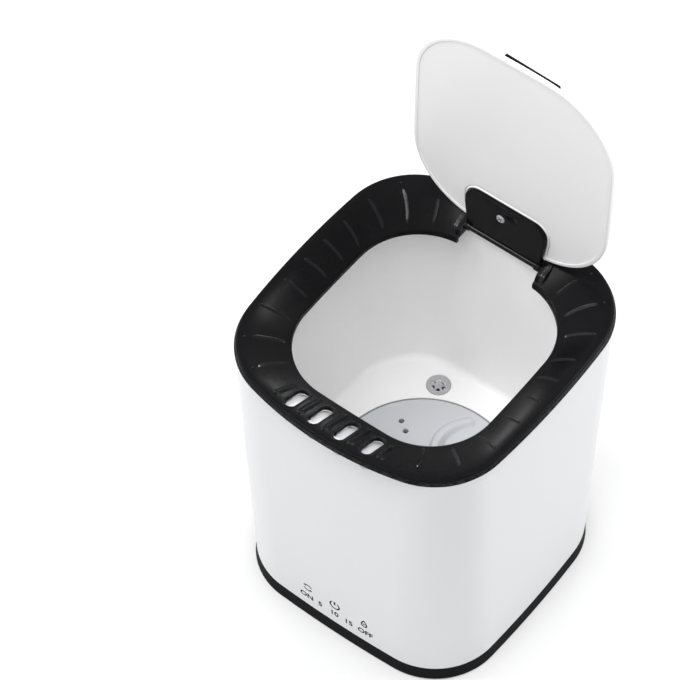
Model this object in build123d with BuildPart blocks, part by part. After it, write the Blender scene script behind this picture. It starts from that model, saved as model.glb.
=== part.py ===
from build123d import *
import os
from dataclasses import dataclass, replace
from math import acos, cos, pi, radians, sin, tan

# Mini washing machine: a bucket-sized tub washer with a hinged lid, a geared pulsator
# drive and a small drain pump. Millimetres, +Z up, the front towards -Y. The origin is
# on the floor, in the middle of the whole depth and width.

# Driving dimensions: general
wall = 2.2                # moulded wall of the housing and the tub
seat_gap = 0.3            # clearance between two moulded pieces that nest
fit_gap = 0.1             # clearance of a plug, spigot or screw in its hole
running_gap = 0.05        # radial clearance of a shaft in its bearing

# Driving dimensions: body. The half width and half depth of the housing's top lead, and
# every other width and depth stands a named distance from them or from one that does
housing_top_half = 128.4
housing_top_depth = 133.5
housing_top_corner = 53.6
housing_top_bow = 7.4
side_flare = 3.4          # how much wider the housing is under the deck than at the floor
end_flare = 8.5           # the same, front and rear
base_half = housing_top_half - side_flare
base_depth = housing_top_depth - end_flare
base_corner = 64.5
base_bow = 6.0            # how far each side bows out over the straight line of its corners
floor_gap = 1.5           # the pan hangs this far over the floor, on its feet
band_top = 16.4           # upper edge of the black band
pan_floor = 3.0
band_draft = 1.0

# Driving dimensions: deck ring
deck_underside = 315.4
deck_height = 6.5
deck_overhang = 4.1       # over the housing's sides, and so on
deck_back_overhang = 5.8
deck_front_overhang = 10.9
deck_half = housing_top_half + deck_overhang
deck_back = housing_top_depth + deck_back_overhang
deck_front = housing_top_depth + deck_front_overhang
deck_corner = 70.5
deck_side_bow = 8.9
deck_back_bow = 8.0
deck_front_bow = 26.0
deck_lip = 2.2            # height of the thin lip round the deck's lower edge
deck_lip_step = 1.2
deck_rim = 4.5            # width of the flat rim outside the dish
deck_skin = 2.4
mouth_inset = 32.8        # from the housing's sides to the mouth's
mouth_end_inset = 34.8
mouth_half = housing_top_half - mouth_inset
mouth_depth = housing_top_depth - mouth_end_inset
mouth_corner = 61.5
mouth_bow = 2.7
mouth_drop = 10.7         # from the deck's underside down to the mouth's edge
mouth_height = deck_underside - mouth_drop
mouth_lip = 2.0           # the mouth's wall goes this far down
dish_power = 1.3          # over 1, the dish is steep at the mouth and flat at the rim
rib_height = 1.0
rib_width = 2.2
slot_pitch = 26.6
slot_count = 4
slot_width = 9.5
slot_length = 22.5
slot_inset = 16.3
slot_middle = slot_inset - housing_top_depth
slot_collar = 1.6
slot_depth = 8.0
rib_margin = 6.0
side_rib_count = 10
side_rib_first = -54.0    # bearings of the ribs along one side, from +X towards the rear
side_rib_last = 58.0
skirt_wall = 1.8
deck_edge_round = 2.0

# Driving dimensions: tub
tub_drop = 14.9           # from the deck's underside down to the tub's flange
tub_side_room = 17.4      # from the housing's sides to the inside of the tub
tub_end_room = 18.9
tub_draft = 3.0
tub_end_draft = 3.9
tub_top_height = deck_underside - tub_drop
tub_top_half = housing_top_half - tub_side_room
tub_top_depth = housing_top_depth - tub_end_room
tub_floor_half = tub_top_half - tub_draft
tub_floor_depth = tub_top_depth - tub_end_draft
tub_corner = 63.0
tub_bow = 3.0
tub_flange = 2.5
tub_floor_fillet = 7.0
tub_recess_depth = 7.0
gasket_height = 2.0

# Driving dimensions: pulsator and its shaft
pulsator_side_room = 28.0
pulsator_radius = tub_floor_half - pulsator_side_room
pulsator_gap = 2.5
pulsator_rise = 5.0
pulsator_skin = 3.0
vane_count = 4
vane_height = 15.0
vane_inner = 17.0
vane_inset = 12.0
vane_outer = pulsator_radius - vane_inset
drain_hole_insets = (34.0, 22.0)
drain_hole_radii = [pulsator_radius - inset for inset in drain_hole_insets]
drain_hole_bearing = 145.0
drain_hole_radius = 2.6
cap_radius = 15.0
cap_height = 4.0
shaft_radius = 4.0
shaft_square = 5.6
bearing_radius = 11.0
bearing_width = 7.0
bearing_spacing = 5.0
seal_height = 6.0
hub_wall = 6.0

# Driving dimensions: gear drive
gear_module = 2.0
gear_teeth = 36
pinion_teeth = 10
gear_width = 8.0
pressure_angle = 25.0
tooth_addendum = 0.9      # of the module
tooth_dedendum = 1.15     # of the module
tooth_thinning = 0.25     # taken off each tooth's thickness at the pitch circle
gear_air = 2.0            # between a gear and the gearbox
gearbox_wall = 2.5
ear_radius = 5.0
ear_reach = 4.2           # from the gearbox's wall out to the middle of its ears
ear_bearings = (60.0, 180.0, 300.0)
motor_radius = 19.0
motor_length = 42.0
motor_shaft_radius = 2.5
motor_boss_radius = 6.0
motor_screw_offset = 12.5
motor_can = 2.0           # wall of the motor's can
motor_air = 8.0           # under the motor
armature_air = 1.0
gear_drop = 1.0           # from the lower bearing down to the gear

# Driving dimensions: drain
pump_x = -46.0
pump_end_room = 24.7
pump_y = tub_floor_depth - pump_end_room
pump_radius = 20.0
pump_height = 17.5
pump_floor = 39.5
pump_motor_radius = 14.0
pump_cup_height = 10.0
impeller_radius = 15.0
impeller_vanes = 6
pump_shaft_radius = 1.5
spout_radius = 8.0        # outside of every spout that a hose is pushed on
spout_bore = 5.6
spout_length = 11.0
hose_wall = 2.2
outlet_height = pump_floor + 8.5
outlet_offset = 10.5
outlet_bend = 12.0
spigot_x = 8.0
flange_radius = 13.0
flange_thickness = 2.5
nut_thickness = 3.5
clamp_width = 5.0
clamp_thickness = 0.9
strainer_radius = 11.0
strainer_thickness = 1.6

# Driving dimensions: fixings
column_inset = 41.0       # from the base's sides in to the middle of a column
column_x = base_half - column_inset
column_y = base_depth - column_inset
column_radius = 7.0
column_gap = 16.0         # from a column's top up to the tub's floor
screw_radius = 1.9
screw_head_radius = 3.6
screw_head_height = 2.4
foot_radius = 11.0
foot_stem_radius = 4.7
deck_screw_inset = 26.9
deck_screw_end_inset = 28.5
deck_screw_x = housing_top_half - deck_screw_inset
deck_screw_y = housing_top_depth - deck_screw_end_inset

# Driving dimensions: electrics
board_width = 96.0
board_height = 30.0
board_thickness = 1.6
board_bottom = 30.0
board_gap = 4.0           # from the housing's wall to the touch board
pad_radius = 5.0
pad_spacing = 30.5
pad_height = board_bottom + 0.6 * board_height
power_board_size = (34.0, 62.0)
power_board_inset = 47.0
power_board_x = base_half - power_board_inset
power_board_y = -8.0
standoff_height = 5.0
socket_x = 48.0
socket_height = 40.0
socket_radius = 5.8
socket_bore = 2.85
socket_pin = 1.0
socket_depth = 12.0

# Driving dimensions: lid
hinge_inset = 23.5
hinge_drop = 2.9
hinge_y = housing_top_depth - hinge_inset
hinge_z = deck_underside - hinge_drop
lid_lean = 0.9            # degrees past upright where the open lid rests
lid_overlap = 2.8         # the lid is this much wider than the mouth on a side
lid_end_overlap = 10.4
lid_half = mouth_half + lid_overlap
lid_near = 8.2            # from the hinge's axis to the lid's near edge
lid_far = lid_near + 2 * (mouth_depth + lid_end_overlap)
lid_corner = 68.5
lid_bow = 1.0
lid_seat = 3.0            # from the hinge's axis out to the lid's rim plane
lid_dome = 12.0           # height of the lid's middle over its rim plane
lid_dome_radius = 900.0
lid_wall = 1.8
lid_edge_round = 2.8
lid_rim = 4.0             # width of the white rim round the liner
liner_thickness = 1.6
liner_sink = 0.8
hinge_pin_radius = 1.5
barrel_radius = 2.8
barrel_half = 38.6
plate_half = 41.0
plate_far = 50.0
plate_straight = 11.0
plate_corner = 13.0
plate_thickness = 3.6
plate_screw_at = 35.8
lug_width = 8.0
lug_radius = 6.2
grip_width = 55.0
grip_offset = 12.5        # the grip stands this far from the lid's middle line, towards +X
grip_depth = 14.0
grip_far = lid_far - 4.4
grip_height = 3.6


# Outlines

@dataclass(frozen=True)
class Outline:
    """Four shallow arcs, one a side, that meet in rounded corners."""

    half: float
    front: float
    back: float
    corner: float
    side_bow: float
    front_bow: float
    back_bow: float

    def grown(self, by):
        """The same outline with every side moved out by a distance."""
        return replace(self, half=self.half + by, front=self.front + by,
                       back=self.back + by, corner=self.corner + by)

    def towards(self, other, share):
        """The outline a share of the way from this one to another."""
        mixed = {name: value + share * (getattr(other, name) - value)
                 for name, value in vars(self).items()}
        return Outline(**mixed)


def even_outline(half, depth, corner, bow):
    """An outline that is the same at the front and the back."""
    return Outline(half, depth, depth, corner, bow, bow, bow)


def section(outline, plane):
    """An outline as a face on a plane."""
    corner_x = outline.half - outline.side_bow
    front_y = outline.front_bow - outline.front
    back_y = outline.back - outline.back_bow
    with BuildSketch(plane) as face:
        with BuildLine():
            ThreePointArc((corner_x, front_y), (outline.half, 0), (corner_x, back_y))
            ThreePointArc((corner_x, back_y), (0, outline.back), (-corner_x, back_y))
            ThreePointArc((-corner_x, back_y), (-outline.half, 0), (-corner_x, front_y))
            ThreePointArc((-corner_x, front_y), (0, -outline.front), (corner_x, front_y))
        make_face()
        fillet(face.vertices(), outline.corner)
    return face.sketch


def level(height):
    """The horizontal plane at a height over the floor."""
    return Plane.XY.offset(height)


def prism(outline, low, high, mode=Mode.ADD):
    """Extrudes an outline from one height to another."""
    extrude(section(outline, level(low)), amount=high - low, mode=mode)


def taper(lower, low, upper, high, mode=Mode.ADD):
    """Lofts from one outline at a height to another at a greater height."""
    loft([section(lower, level(low)), section(upper, level(high))], ruled=True, mode=mode)


def rod(x, y, low, high, radius, mode=Mode.ADD):
    """An upright cylinder between two heights."""
    with BuildSketch(level(low)) as disc:
        with Locations((x, y)):
            Circle(radius)
    extrude(disc.sketch, amount=high - low, mode=mode)


def rear_rod(x, z, inner, outer, radius, mode=Mode.ADD):
    """A cylinder along Y between two distances from the middle."""
    with BuildSketch(Plane.XZ.offset(-inner)) as disc:
        with Locations((x, z)):
            Circle(radius)
    extrude(disc.sketch, amount=inner - outer, mode=mode)


base_outline = even_outline(base_half, base_depth, base_corner, base_bow)
housing_foot = base_outline.grown(-band_draft)
housing_top = even_outline(housing_top_half, housing_top_depth, housing_top_corner,
                           housing_top_bow)
deck_outline = Outline(deck_half, deck_front, deck_back, deck_corner,
                       deck_side_bow, deck_front_bow, deck_back_bow)
mouth_outline = even_outline(mouth_half, mouth_depth, mouth_corner, mouth_bow)
tub_top = even_outline(tub_top_half, tub_top_depth, tub_corner, tub_bow)
tub_foot = even_outline(tub_floor_half, tub_floor_depth, tub_corner, tub_bow)
deck_crest = deck_underside + deck_height



# The drive's stack, from the floor up, gives the height of the tub's floor

gear_centre = gear_module * (gear_teeth + pinion_teeth) / 2
pan_top = floor_gap + pan_floor
motor_stack = motor_air + motor_length + gearbox_wall
gear_stack = gear_air + gear_width + gear_drop
hub_stack = 2 * bearing_width + bearing_spacing + seal_height
tub_floor_height = pan_top + motor_stack + gear_stack + hub_stack + tub_recess_depth
pulsator_rim_height = tub_floor_height + 1.0
column_top = tub_floor_height - column_gap


def housing_at(height):
    """The housing's outer outline at a height."""
    return housing_foot.towards(housing_top, (height - band_top) / (deck_underside - band_top))


# Base pan: a black tray whose band shows under the housing

pan_rib = 2.0
pan_rib_height = 6.0
pan_inside = housing_foot.grown(-wall - seat_gap - pan_rib)
foot_sink = 1.2
screw_seat = 12.0
vent_count = 5
vent_pitch = 9.0
vent_length = 44.0
vent_width = 4.0
columns = [(x, y) for x in (-column_x, column_x) for y in (-column_y, column_y)]
standoff_radius = 3.0
power_corner_x = power_board_size[0] / 2 - standoff_radius
power_corner_y = power_board_size[1] / 2 - standoff_radius
power_corners = [(power_board_x + i * power_corner_x, power_board_y + j * power_corner_y)
                 for i in (-1, 1) for j in (-1, 1)]

with BuildPart() as base_pan:
    taper(base_outline, floor_gap, housing_foot, band_top)
    prism(housing_foot.grown(-wall - seat_gap), band_top, band_top + pan_rib_height)
    prism(pan_inside, pan_top, band_top + pan_rib_height, Mode.SUBTRACT)
    for x, y in columns:
        rod(x, y, pan_top, column_top, column_radius)
        rod(x, y, floor_gap, floor_gap + foot_sink, foot_radius + seat_gap, Mode.SUBTRACT)
        rod(x, y, floor_gap, screw_seat, foot_stem_radius + seat_gap, Mode.SUBTRACT)
        rod(x, y, screw_seat, column_top, screw_radius + fit_gap, Mode.SUBTRACT)
    rod(pump_x, pump_y, pan_top, pan_top + pump_cup_height, pump_motor_radius + seat_gap + wall)
    rod(pump_x, pump_y, pan_top, pan_top + pump_cup_height, pump_motor_radius + seat_gap,
        Mode.SUBTRACT)
    for x, y in power_corners:
        rod(x, y, pan_top, pan_top + standoff_height, standoff_radius)
        rod(x, y, pan_top, pan_top + standoff_height, screw_radius / 2 + fit_gap, Mode.SUBTRACT)
    with BuildSketch(level(floor_gap)):
        with Locations((0, -gear_centre)):
            with GridLocations(vent_pitch, vent_pitch, vent_count, 1):
                SlotOverall(vent_length, vent_width, rotation=90)
    extrude(amount=pan_floor, mode=Mode.SUBTRACT)

foot_height = floor_gap + foot_sink
with BuildPart() as rubber_feet:
    for x, y in columns:
        rod(x, y, 0, foot_height, foot_radius)
        rod(x, y, foot_height, screw_seat - screw_head_height - seat_gap, foot_stem_radius)
    chamfer(rubber_feet.faces().filter_by(Axis.Z).group_by(Axis.Z)[0].edges(), foot_sink)

tub_boss_depth = 12.0
with BuildPart() as base_screws:
    for x, y in columns:
        rod(x, y, screw_seat - screw_head_height, screw_seat, screw_head_radius)
        rod(x, y, screw_seat, column_top + tub_boss_depth - fit_gap, screw_radius)


# Outer housing: the white tapered wall

pad_rise = 0.8            # the flat rear pads stand this far off the wall, in and out
socket_flange = 8.0


def wall_at(x, z):
    """Distance of the rear wall's outer face from the middle, at a place on it."""
    outline = housing_at(z)
    return outline.back - outline.back_bow * (x / (outline.half - outline.side_bow)) ** 2


spigot_pad_out = wall_at(spigot_x, outlet_height) + pad_rise
spigot_pad_in = spigot_pad_out - wall - 2 * pad_rise
socket_pad_out = wall_at(socket_x, socket_height) + pad_rise
socket_pad_in = socket_pad_out - wall - 2 * pad_rise

with BuildPart() as outer_housing:
    taper(housing_foot, band_top, housing_top, deck_underside)
    taper(housing_foot.grown(-wall), band_top, housing_top.grown(-wall), deck_underside,
          Mode.SUBTRACT)
    rear_rod(spigot_x, outlet_height, spigot_pad_in, spigot_pad_out, flange_radius + pad_rise)
    rear_rod(spigot_x, outlet_height, base_depth / 2, base_depth + wall, spout_radius + seat_gap,
             Mode.SUBTRACT)
    rear_rod(socket_x, socket_height, socket_pad_in, socket_pad_out, socket_flange + pad_rise)
    rear_rod(socket_x, socket_height, base_depth / 2, base_depth + wall,
             socket_radius + seat_gap, Mode.SUBTRACT)


# Wash tub: tapered walls, a flange under the deck and a recess for the pulsator

recess_radius = pulsator_radius + pulsator_gap
recess_floor = tub_floor_height - tub_recess_depth
hub_radius = bearing_radius + hub_wall
upper_bearing_top = recess_floor - seal_height
upper_bearing_bottom = upper_bearing_top - bearing_width
lower_bearing_top = upper_bearing_bottom - bearing_spacing
hub_bottom = lower_bearing_top - bearing_width
tub_underside = tub_floor_height - tub_flange
tub_flange_bottom = tub_top_height - tub_flange
flange_outline = housing_at(tub_flange_bottom).grown(-wall - 2 * seat_gap)
deck_screws_at = [(x, y) for x in (-deck_screw_x, deck_screw_x)
                  for y in (-deck_screw_y, deck_screw_y)]
tip_reach = gear_module * tooth_addendum
gear_tip = gear_module * gear_teeth / 2 + tip_reach
pinion_tip = gear_module * pinion_teeth / 2 + tip_reach
case_gear_radius = gear_tip + gear_air
case_pinion_radius = pinion_tip + gear_air
ear_circle = case_gear_radius + gearbox_wall + ear_reach
ear_points = [(ear_circle * cos(radians(a)), ear_circle * sin(radians(a))) for a in ear_bearings]
case_top = hub_bottom + gearbox_wall
tub_boss_radius = column_radius - 0.5
screw_hole = screw_radius + fit_gap
tub_wall_foot = tub_floor_height + 2 * tub_floor_fillet

with BuildPart() as tub_inside:
    prism(tub_foot, tub_floor_height, tub_wall_foot)
    taper(tub_foot, tub_wall_foot, tub_top, tub_top_height)
    fillet(tub_inside.faces().sort_by(Axis.Z)[0].edges(), tub_floor_fillet)

with BuildPart() as wash_tub:
    prism(tub_foot.grown(wall), tub_underside, tub_wall_foot)
    taper(tub_foot.grown(wall), tub_wall_foot, tub_top.grown(wall), tub_top_height)
    prism(flange_outline, tub_flange_bottom, tub_top_height)
    add(tub_inside.part, mode=Mode.SUBTRACT)
    rod(0, 0, recess_floor - tub_flange, tub_floor_height, recess_radius + wall)
    rod(0, 0, recess_floor, tub_floor_height, recess_radius, Mode.SUBTRACT)
    rod(0, 0, hub_bottom, recess_floor, hub_radius)
    for x, y in ear_points:
        rod(x, y, case_top, recess_floor, ear_radius)
        rod(x, y, case_top, recess_floor - tub_flange, screw_hole, Mode.SUBTRACT)
    for x, y in columns:
        rod(x, y, column_top, tub_underside, tub_boss_radius)
        rod(x, y, column_top, column_top + tub_boss_depth, screw_hole, Mode.SUBTRACT)
    for x, y in deck_screws_at:
        rod(x, y, tub_flange_bottom, tub_top_height, screw_hole, Mode.SUBTRACT)
    rod(pump_x, pump_y, tub_underside - spout_length, tub_underside, spout_radius)
    rod(pump_x, pump_y, tub_underside - spout_length, tub_floor_height, spout_bore,
        Mode.SUBTRACT)
    rod(pump_x, pump_y, tub_floor_height - strainer_thickness, tub_floor_height,
        strainer_radius + seat_gap, Mode.SUBTRACT)
    rod(0, 0, upper_bearing_bottom, recess_floor, bearing_radius, Mode.SUBTRACT)
    rod(0, 0, hub_bottom, lower_bearing_top, bearing_radius, Mode.SUBTRACT)
    rod(0, 0, hub_bottom, recess_floor, bearing_radius - wall, Mode.SUBTRACT)

with BuildPart() as drain_strainer:
    rod(pump_x, pump_y, tub_floor_height - strainer_thickness, tub_floor_height, strainer_radius)
    with BuildSketch(level(tub_floor_height)):
        with Locations((pump_x, pump_y)):
            with PolarLocations(strainer_radius / 2, 6):
                Circle(strainer_radius / 6)
    extrude(amount=-strainer_thickness, mode=Mode.SUBTRACT)


# Deck ring: the dished black ring round the mouth

dish_rim = deck_outline.grown(-deck_rim)
dish_steps = 4
dish_rise = deck_crest - mouth_height
deck_bottom = tub_top_height + gasket_height
skirt_outline = housing_at(deck_bottom).grown(-wall - seat_gap)
skirt_inside = skirt_outline.grown(-skirt_wall)
notch_half = barrel_half + 2 * seat_gap
notch_back = hinge_y + lug_radius + seat_gap
deck_boss_radius = screw_radius + wall
pin_grip = 0.02           # radial clearance of the hinge pin in the lugs that hold it
slots_at = [((i - (slot_count - 1) / 2) * slot_pitch, slot_middle) for i in range(slot_count)]
front_ribs_at = [((i - slot_count / 2) * slot_pitch, slot_middle)
                 for i in range(slot_count + 1)]
rib_step = (side_rib_last - side_rib_first) / (side_rib_count - 1)


def dish(drop, growth, mode):
    """Fills the funnel from mouth to rim. Its height rises as one less the power
    of what is left of the way, and the outlines are lofted into one smooth skin."""
    shares = [step / dish_steps for step in range(dish_steps + 1)]
    heights = [mouth_height + dish_rise * (1 - (1 - share) ** dish_power) for share in shares]
    loft([section(mouth_outline.towards(dish_rim, share).grown(growth), level(height - drop))
          for share, height in zip(shares, heights)], mode=mode)


def slot_prisms(growth, low, high, mode):
    """The front row of slots, each widened by a growth, between two heights."""
    with BuildSketch(level(low)) as row:
        with Locations(*slots_at):
            SlotOverall(slot_length + 2 * growth, slot_width + 2 * growth, rotation=90)
    extrude(row.sketch, amount=high - low, mode=mode)


with BuildPart() as deck_ribs:
    prism(dish_rim.grown(-rib_margin), deck_bottom, deck_crest)
    prism(mouth_outline.grown(rib_margin), deck_bottom, deck_crest, Mode.SUBTRACT)
    with BuildSketch(level(deck_bottom)):
        for i in range(side_rib_count):
            for bearing in (side_rib_first + i * rib_step, 180 - side_rib_first - i * rib_step):
                with Locations(Location((0, 0, 0), (0, 0, bearing))):
                    Rectangle(2 * deck_front, rib_width, align=(Align.MIN, Align.CENTER))
        with Locations(*front_ribs_at):
            Rectangle(rib_width, slot_length)
    extrude(amount=deck_crest - deck_bottom, mode=Mode.INTERSECT)
    dish(-rib_height, 0, Mode.SUBTRACT)

with BuildPart() as deck_hollow:
    prism(skirt_inside, deck_bottom, deck_crest - deck_skin)
    dish(deck_skin, deck_skin, Mode.SUBTRACT)
    slot_prisms(slot_collar, deck_crest - deck_skin - slot_depth, deck_crest, Mode.SUBTRACT)
    for x, y in deck_screws_at:
        rod(x, y, deck_bottom, deck_crest, deck_boss_radius, Mode.SUBTRACT)
    with BuildSketch(level(deck_bottom)):
        with Locations((0, notch_back)):
            Rectangle(2 * (notch_half + lug_width), deck_skin, align=(Align.CENTER, Align.MIN))
    extrude(amount=deck_crest - deck_bottom, mode=Mode.SUBTRACT)

with BuildPart() as deck_ring:
    prism(deck_outline, deck_underside, deck_underside + deck_lip)
    prism(deck_outline.grown(-deck_lip_step), deck_underside + deck_lip, deck_crest)
    fillet(deck_ring.edges().group_by(Axis.Z)[-1], deck_edge_round)
    prism(skirt_outline, deck_bottom, deck_underside)
    dish(0, 0, Mode.SUBTRACT)
    prism(mouth_outline, deck_bottom, mouth_height, Mode.SUBTRACT)
    add(deck_ribs.part)
    add(deck_hollow.part, mode=Mode.SUBTRACT)
    slot_prisms(0, deck_bottom, deck_crest, Mode.SUBTRACT)
    with BuildSketch(level(deck_bottom)):
        with Locations((0, notch_back)):
            Rectangle(2 * notch_half, notch_back, align=(Align.CENTER, Align.MAX))
    extrude(amount=deck_crest - deck_bottom, mode=Mode.SUBTRACT)
    for x, y in deck_screws_at:
        rod(x, y, tub_top_height, deck_bottom, deck_boss_radius)
        rod(x, y, tub_top_height, deck_bottom + deck_height, screw_hole, Mode.SUBTRACT)
    for side in (-1, 1):
        with BuildSketch(Plane.YZ.offset(side * notch_half)):
            with Locations((hinge_y, hinge_z)):
                Circle(lug_radius)
                Rectangle(2 * lug_radius, hinge_z - deck_bottom, align=(Align.CENTER, Align.MAX))
        extrude(amount=side * lug_width)
        with BuildSketch(Plane.YZ.offset(side * notch_half)):
            with Locations((hinge_y, hinge_z)):
                Circle(hinge_pin_radius + pin_grip)
        extrude(amount=side * lug_width, mode=Mode.SUBTRACT)

with BuildPart() as deck_gasket:
    prism(skirt_outline, tub_top_height, deck_bottom)
    prism(skirt_inside, tub_top_height, deck_bottom, Mode.SUBTRACT)

with BuildPart() as deck_screws:
    for x, y in deck_screws_at:
        rod(x, y, tub_flange_bottom - screw_head_height, tub_flange_bottom, screw_head_radius)
        rod(x, y, tub_flange_bottom, deck_bottom + deck_height - fit_gap, screw_radius)


# Pulsator: a low domed disc with swept vanes on a square-ended shaft

pulsator_top = pulsator_rim_height + pulsator_rise
vane_width = 12.0
vane_draft = 12.0
vane_sweep = 9.0
boss_radius = 9.0
boss_bottom = recess_floor + 1.5
cap_seat = pulsator_top - 2.5
screw_pocket = cap_seat - 3.0
socket_top = screw_pocket - 2.0
shaft_top = socket_top - fit_gap
drive_screw_length = 12.0
cap_web = 2.5
vane_tip = 3.0


def shallow_cone(top, rim_radius, rim_height, bottom, mode=Mode.ADD):
    """A disc whose upper face falls evenly from the middle to the rim."""
    with BuildSketch(Plane.XZ) as profile:
        with BuildLine():
            Polyline((0, top), (rim_radius, rim_height), (rim_radius, bottom), (0, bottom),
                     close=True)
        make_face()
    revolve(profile.sketch, axis=Axis.Z, mode=mode)


with BuildPart() as pulsator_vanes:
    with BuildSketch(level(pulsator_rim_height)):
        with PolarLocations(0, vane_count):
            SlotArc(Edge.make_three_point_arc((vane_inner, 0),
                                              ((vane_inner + vane_outer) / 2, vane_sweep),
                                              (vane_outer, 0)), vane_width)
    extrude(amount=vane_height + pulsator_rise, taper=vane_draft)
    shallow_cone(pulsator_top + vane_height, vane_outer + vane_width,
                 pulsator_rim_height + vane_tip, pulsator_rim_height, Mode.INTERSECT)

with BuildPart() as pulsator_underside:
    shallow_cone(pulsator_top - pulsator_skin, pulsator_radius - pulsator_skin,
                 pulsator_rim_height - pulsator_skin, boss_bottom)

with BuildPart() as pulsator:
    shallow_cone(pulsator_top, pulsator_radius, pulsator_rim_height,
                 pulsator_rim_height - pulsator_skin)
    add(pulsator_vanes.part)
    add(pulsator_underside.part, mode=Mode.SUBTRACT)
    rod(0, 0, cap_seat - cap_web, pulsator_top - pulsator_rise / 4, cap_radius + cap_web)
    rod(0, 0, boss_bottom, cap_seat, boss_radius)
    rod(0, 0, cap_seat, pulsator_top + vane_height, cap_radius + seat_gap, Mode.SUBTRACT)
    rod(0, 0, screw_pocket, cap_seat, screw_head_radius + 2 * seat_gap, Mode.SUBTRACT)
    rod(0, 0, boss_bottom, screw_pocket, screw_hole, Mode.SUBTRACT)
    with BuildSketch(level(boss_bottom)):
        Rectangle(shaft_square + 2 * fit_gap, shaft_square + 2 * fit_gap)
    extrude(amount=socket_top - boss_bottom, mode=Mode.SUBTRACT)
    with BuildSketch(level(boss_bottom)):
        for reach in drain_hole_radii:
            with PolarLocations(reach, vane_count, start_angle=drain_hole_bearing):
                Circle(drain_hole_radius)
    extrude(amount=pulsator_top + vane_height - boss_bottom, mode=Mode.SUBTRACT)

with BuildPart() as pulsator_cap:
    shallow_cone(cap_seat + cap_height, cap_radius, cap_seat + cap_height / 2, cap_seat)

with BuildPart() as pulsator_screw:
    rod(0, 0, screw_pocket, screw_pocket + screw_head_height, screw_head_radius)
    rod(0, 0, screw_pocket - drive_screw_length, screw_pocket, screw_radius)


# Gear drive under the tub: a large wheel on the pulsator's shaft and a motor pinion

gear_top = hub_bottom - gear_drop
gear_bottom = gear_top - gear_width
case_bottom = gear_bottom - gear_air
cover_bottom = case_bottom - gearbox_wall
shaft_end_radius = 2.4
clip_thickness = 1.0
clip_radius = 6.0
clip_top = gear_bottom - fit_gap
shaft_end = clip_top - clip_thickness
gear_hub_radius = 10.0
gear_rim = 5.0
gear_web = 3.0
gear_root = gear_module * gear_teeth / 2 - gear_module * tooth_dedendum
web_hole_radius = 5.0
pinion_inset = 0.5


def involute(angle):
    """The involute function: the tangent of an angle less the angle itself."""
    return tan(angle) - angle


def gear_face(teeth, y, low):
    """A spur gear's outline: straight-flanked teeth whose corners lie on the involute
    of the base circle, thinned for backlash, on a disc of the root diameter."""
    pitch_radius = gear_module * teeth / 2
    base_radius = pitch_radius * cos(radians(pressure_angle))
    root = pitch_radius - gear_module * tooth_dedendum
    tip = pitch_radius + tip_reach
    half_pitch = (pi / 2 - tooth_thinning / gear_module) / teeth
    at_pitch = involute(radians(pressure_angle))

    def corner(radius, side):
        """A corner of a tooth, on the flank at a radius."""
        slope = acos(min(1.0, base_radius / radius))
        half_angle = half_pitch + at_pitch - involute(slope)
        return radius * cos(half_angle), side * radius * sin(half_angle)

    lowest = max(root, base_radius)
    inner = root - gear_module / 2
    foot = corner(lowest, 1)[1]
    with BuildSketch() as tooth:
        with BuildLine():
            Polyline((inner, -foot), corner(lowest, -1), corner(pitch_radius, -1),
                     corner(tip, -1), corner(tip, 1), corner(pitch_radius, 1),
                     corner(lowest, 1), (inner, foot), close=True)
        make_face()
    with BuildSketch(Plane((0, y, low))) as face:
        Circle(root)
        for i in range(teeth):
            add(tooth.sketch, rotation=360 * i / teeth)
    return face.sketch


with BuildPart() as drive_gear:
    extrude(gear_face(gear_teeth, 0, gear_bottom), amount=gear_width)
    for height in (gear_bottom, (gear_top + gear_bottom + gear_web) / 2):
        with BuildSketch(level(height)):
            Circle(gear_root - gear_rim)
            Circle(gear_hub_radius, mode=Mode.SUBTRACT)
        extrude(amount=(gear_width - gear_web) / 2, mode=Mode.SUBTRACT)
    with BuildSketch(level(gear_bottom)):
        with PolarLocations((gear_root - gear_rim + gear_hub_radius) / 2, 6):
            Circle(web_hole_radius)
        Rectangle(shaft_square + 2 * fit_gap, shaft_square + 2 * fit_gap)
    extrude(amount=gear_width, mode=Mode.SUBTRACT)

with BuildPart() as drive_shaft:
    rod(0, 0, gear_top + fit_gap, boss_bottom - fit_gap, shaft_radius)
    with BuildSketch(level(gear_bottom)):
        Rectangle(shaft_square, shaft_square)
    extrude(amount=shaft_top - gear_bottom)
    rod(0, 0, shaft_end, gear_bottom, shaft_end_radius)
    rod(0, 0, screw_pocket - drive_screw_length - fit_gap, shaft_top, screw_hole, Mode.SUBTRACT)

with BuildPart() as gear_clip:
    rod(0, 0, shaft_end, clip_top, clip_radius)
    rod(0, 0, shaft_end, clip_top, shaft_end_radius + fit_gap, Mode.SUBTRACT)

with BuildPart() as motor_pinion:
    extrude(gear_face(pinion_teeth, -gear_centre, gear_bottom + pinion_inset),
            amount=gear_width - 2 * pinion_inset)
    rod(0, -gear_centre, gear_bottom, gear_top, motor_shaft_radius + pin_grip, Mode.SUBTRACT)

with BuildPart() as upper_bearing:
    rod(0, 0, upper_bearing_bottom, upper_bearing_top, bearing_radius - fit_gap)
    rod(0, 0, upper_bearing_bottom, upper_bearing_top, shaft_radius + running_gap, Mode.SUBTRACT)

with BuildPart() as lower_bearing:
    rod(0, 0, hub_bottom, lower_bearing_top, bearing_radius - fit_gap)
    rod(0, 0, hub_bottom, lower_bearing_top, shaft_radius + running_gap, Mode.SUBTRACT)

with BuildPart() as shaft_seal:
    rod(0, 0, upper_bearing_top, recess_floor, bearing_radius - fit_gap)
    rod(0, 0, upper_bearing_top, recess_floor, shaft_radius + running_gap, Mode.SUBTRACT)


# Gearbox: a case round both gears, its cover, the motor under it and their screws

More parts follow.
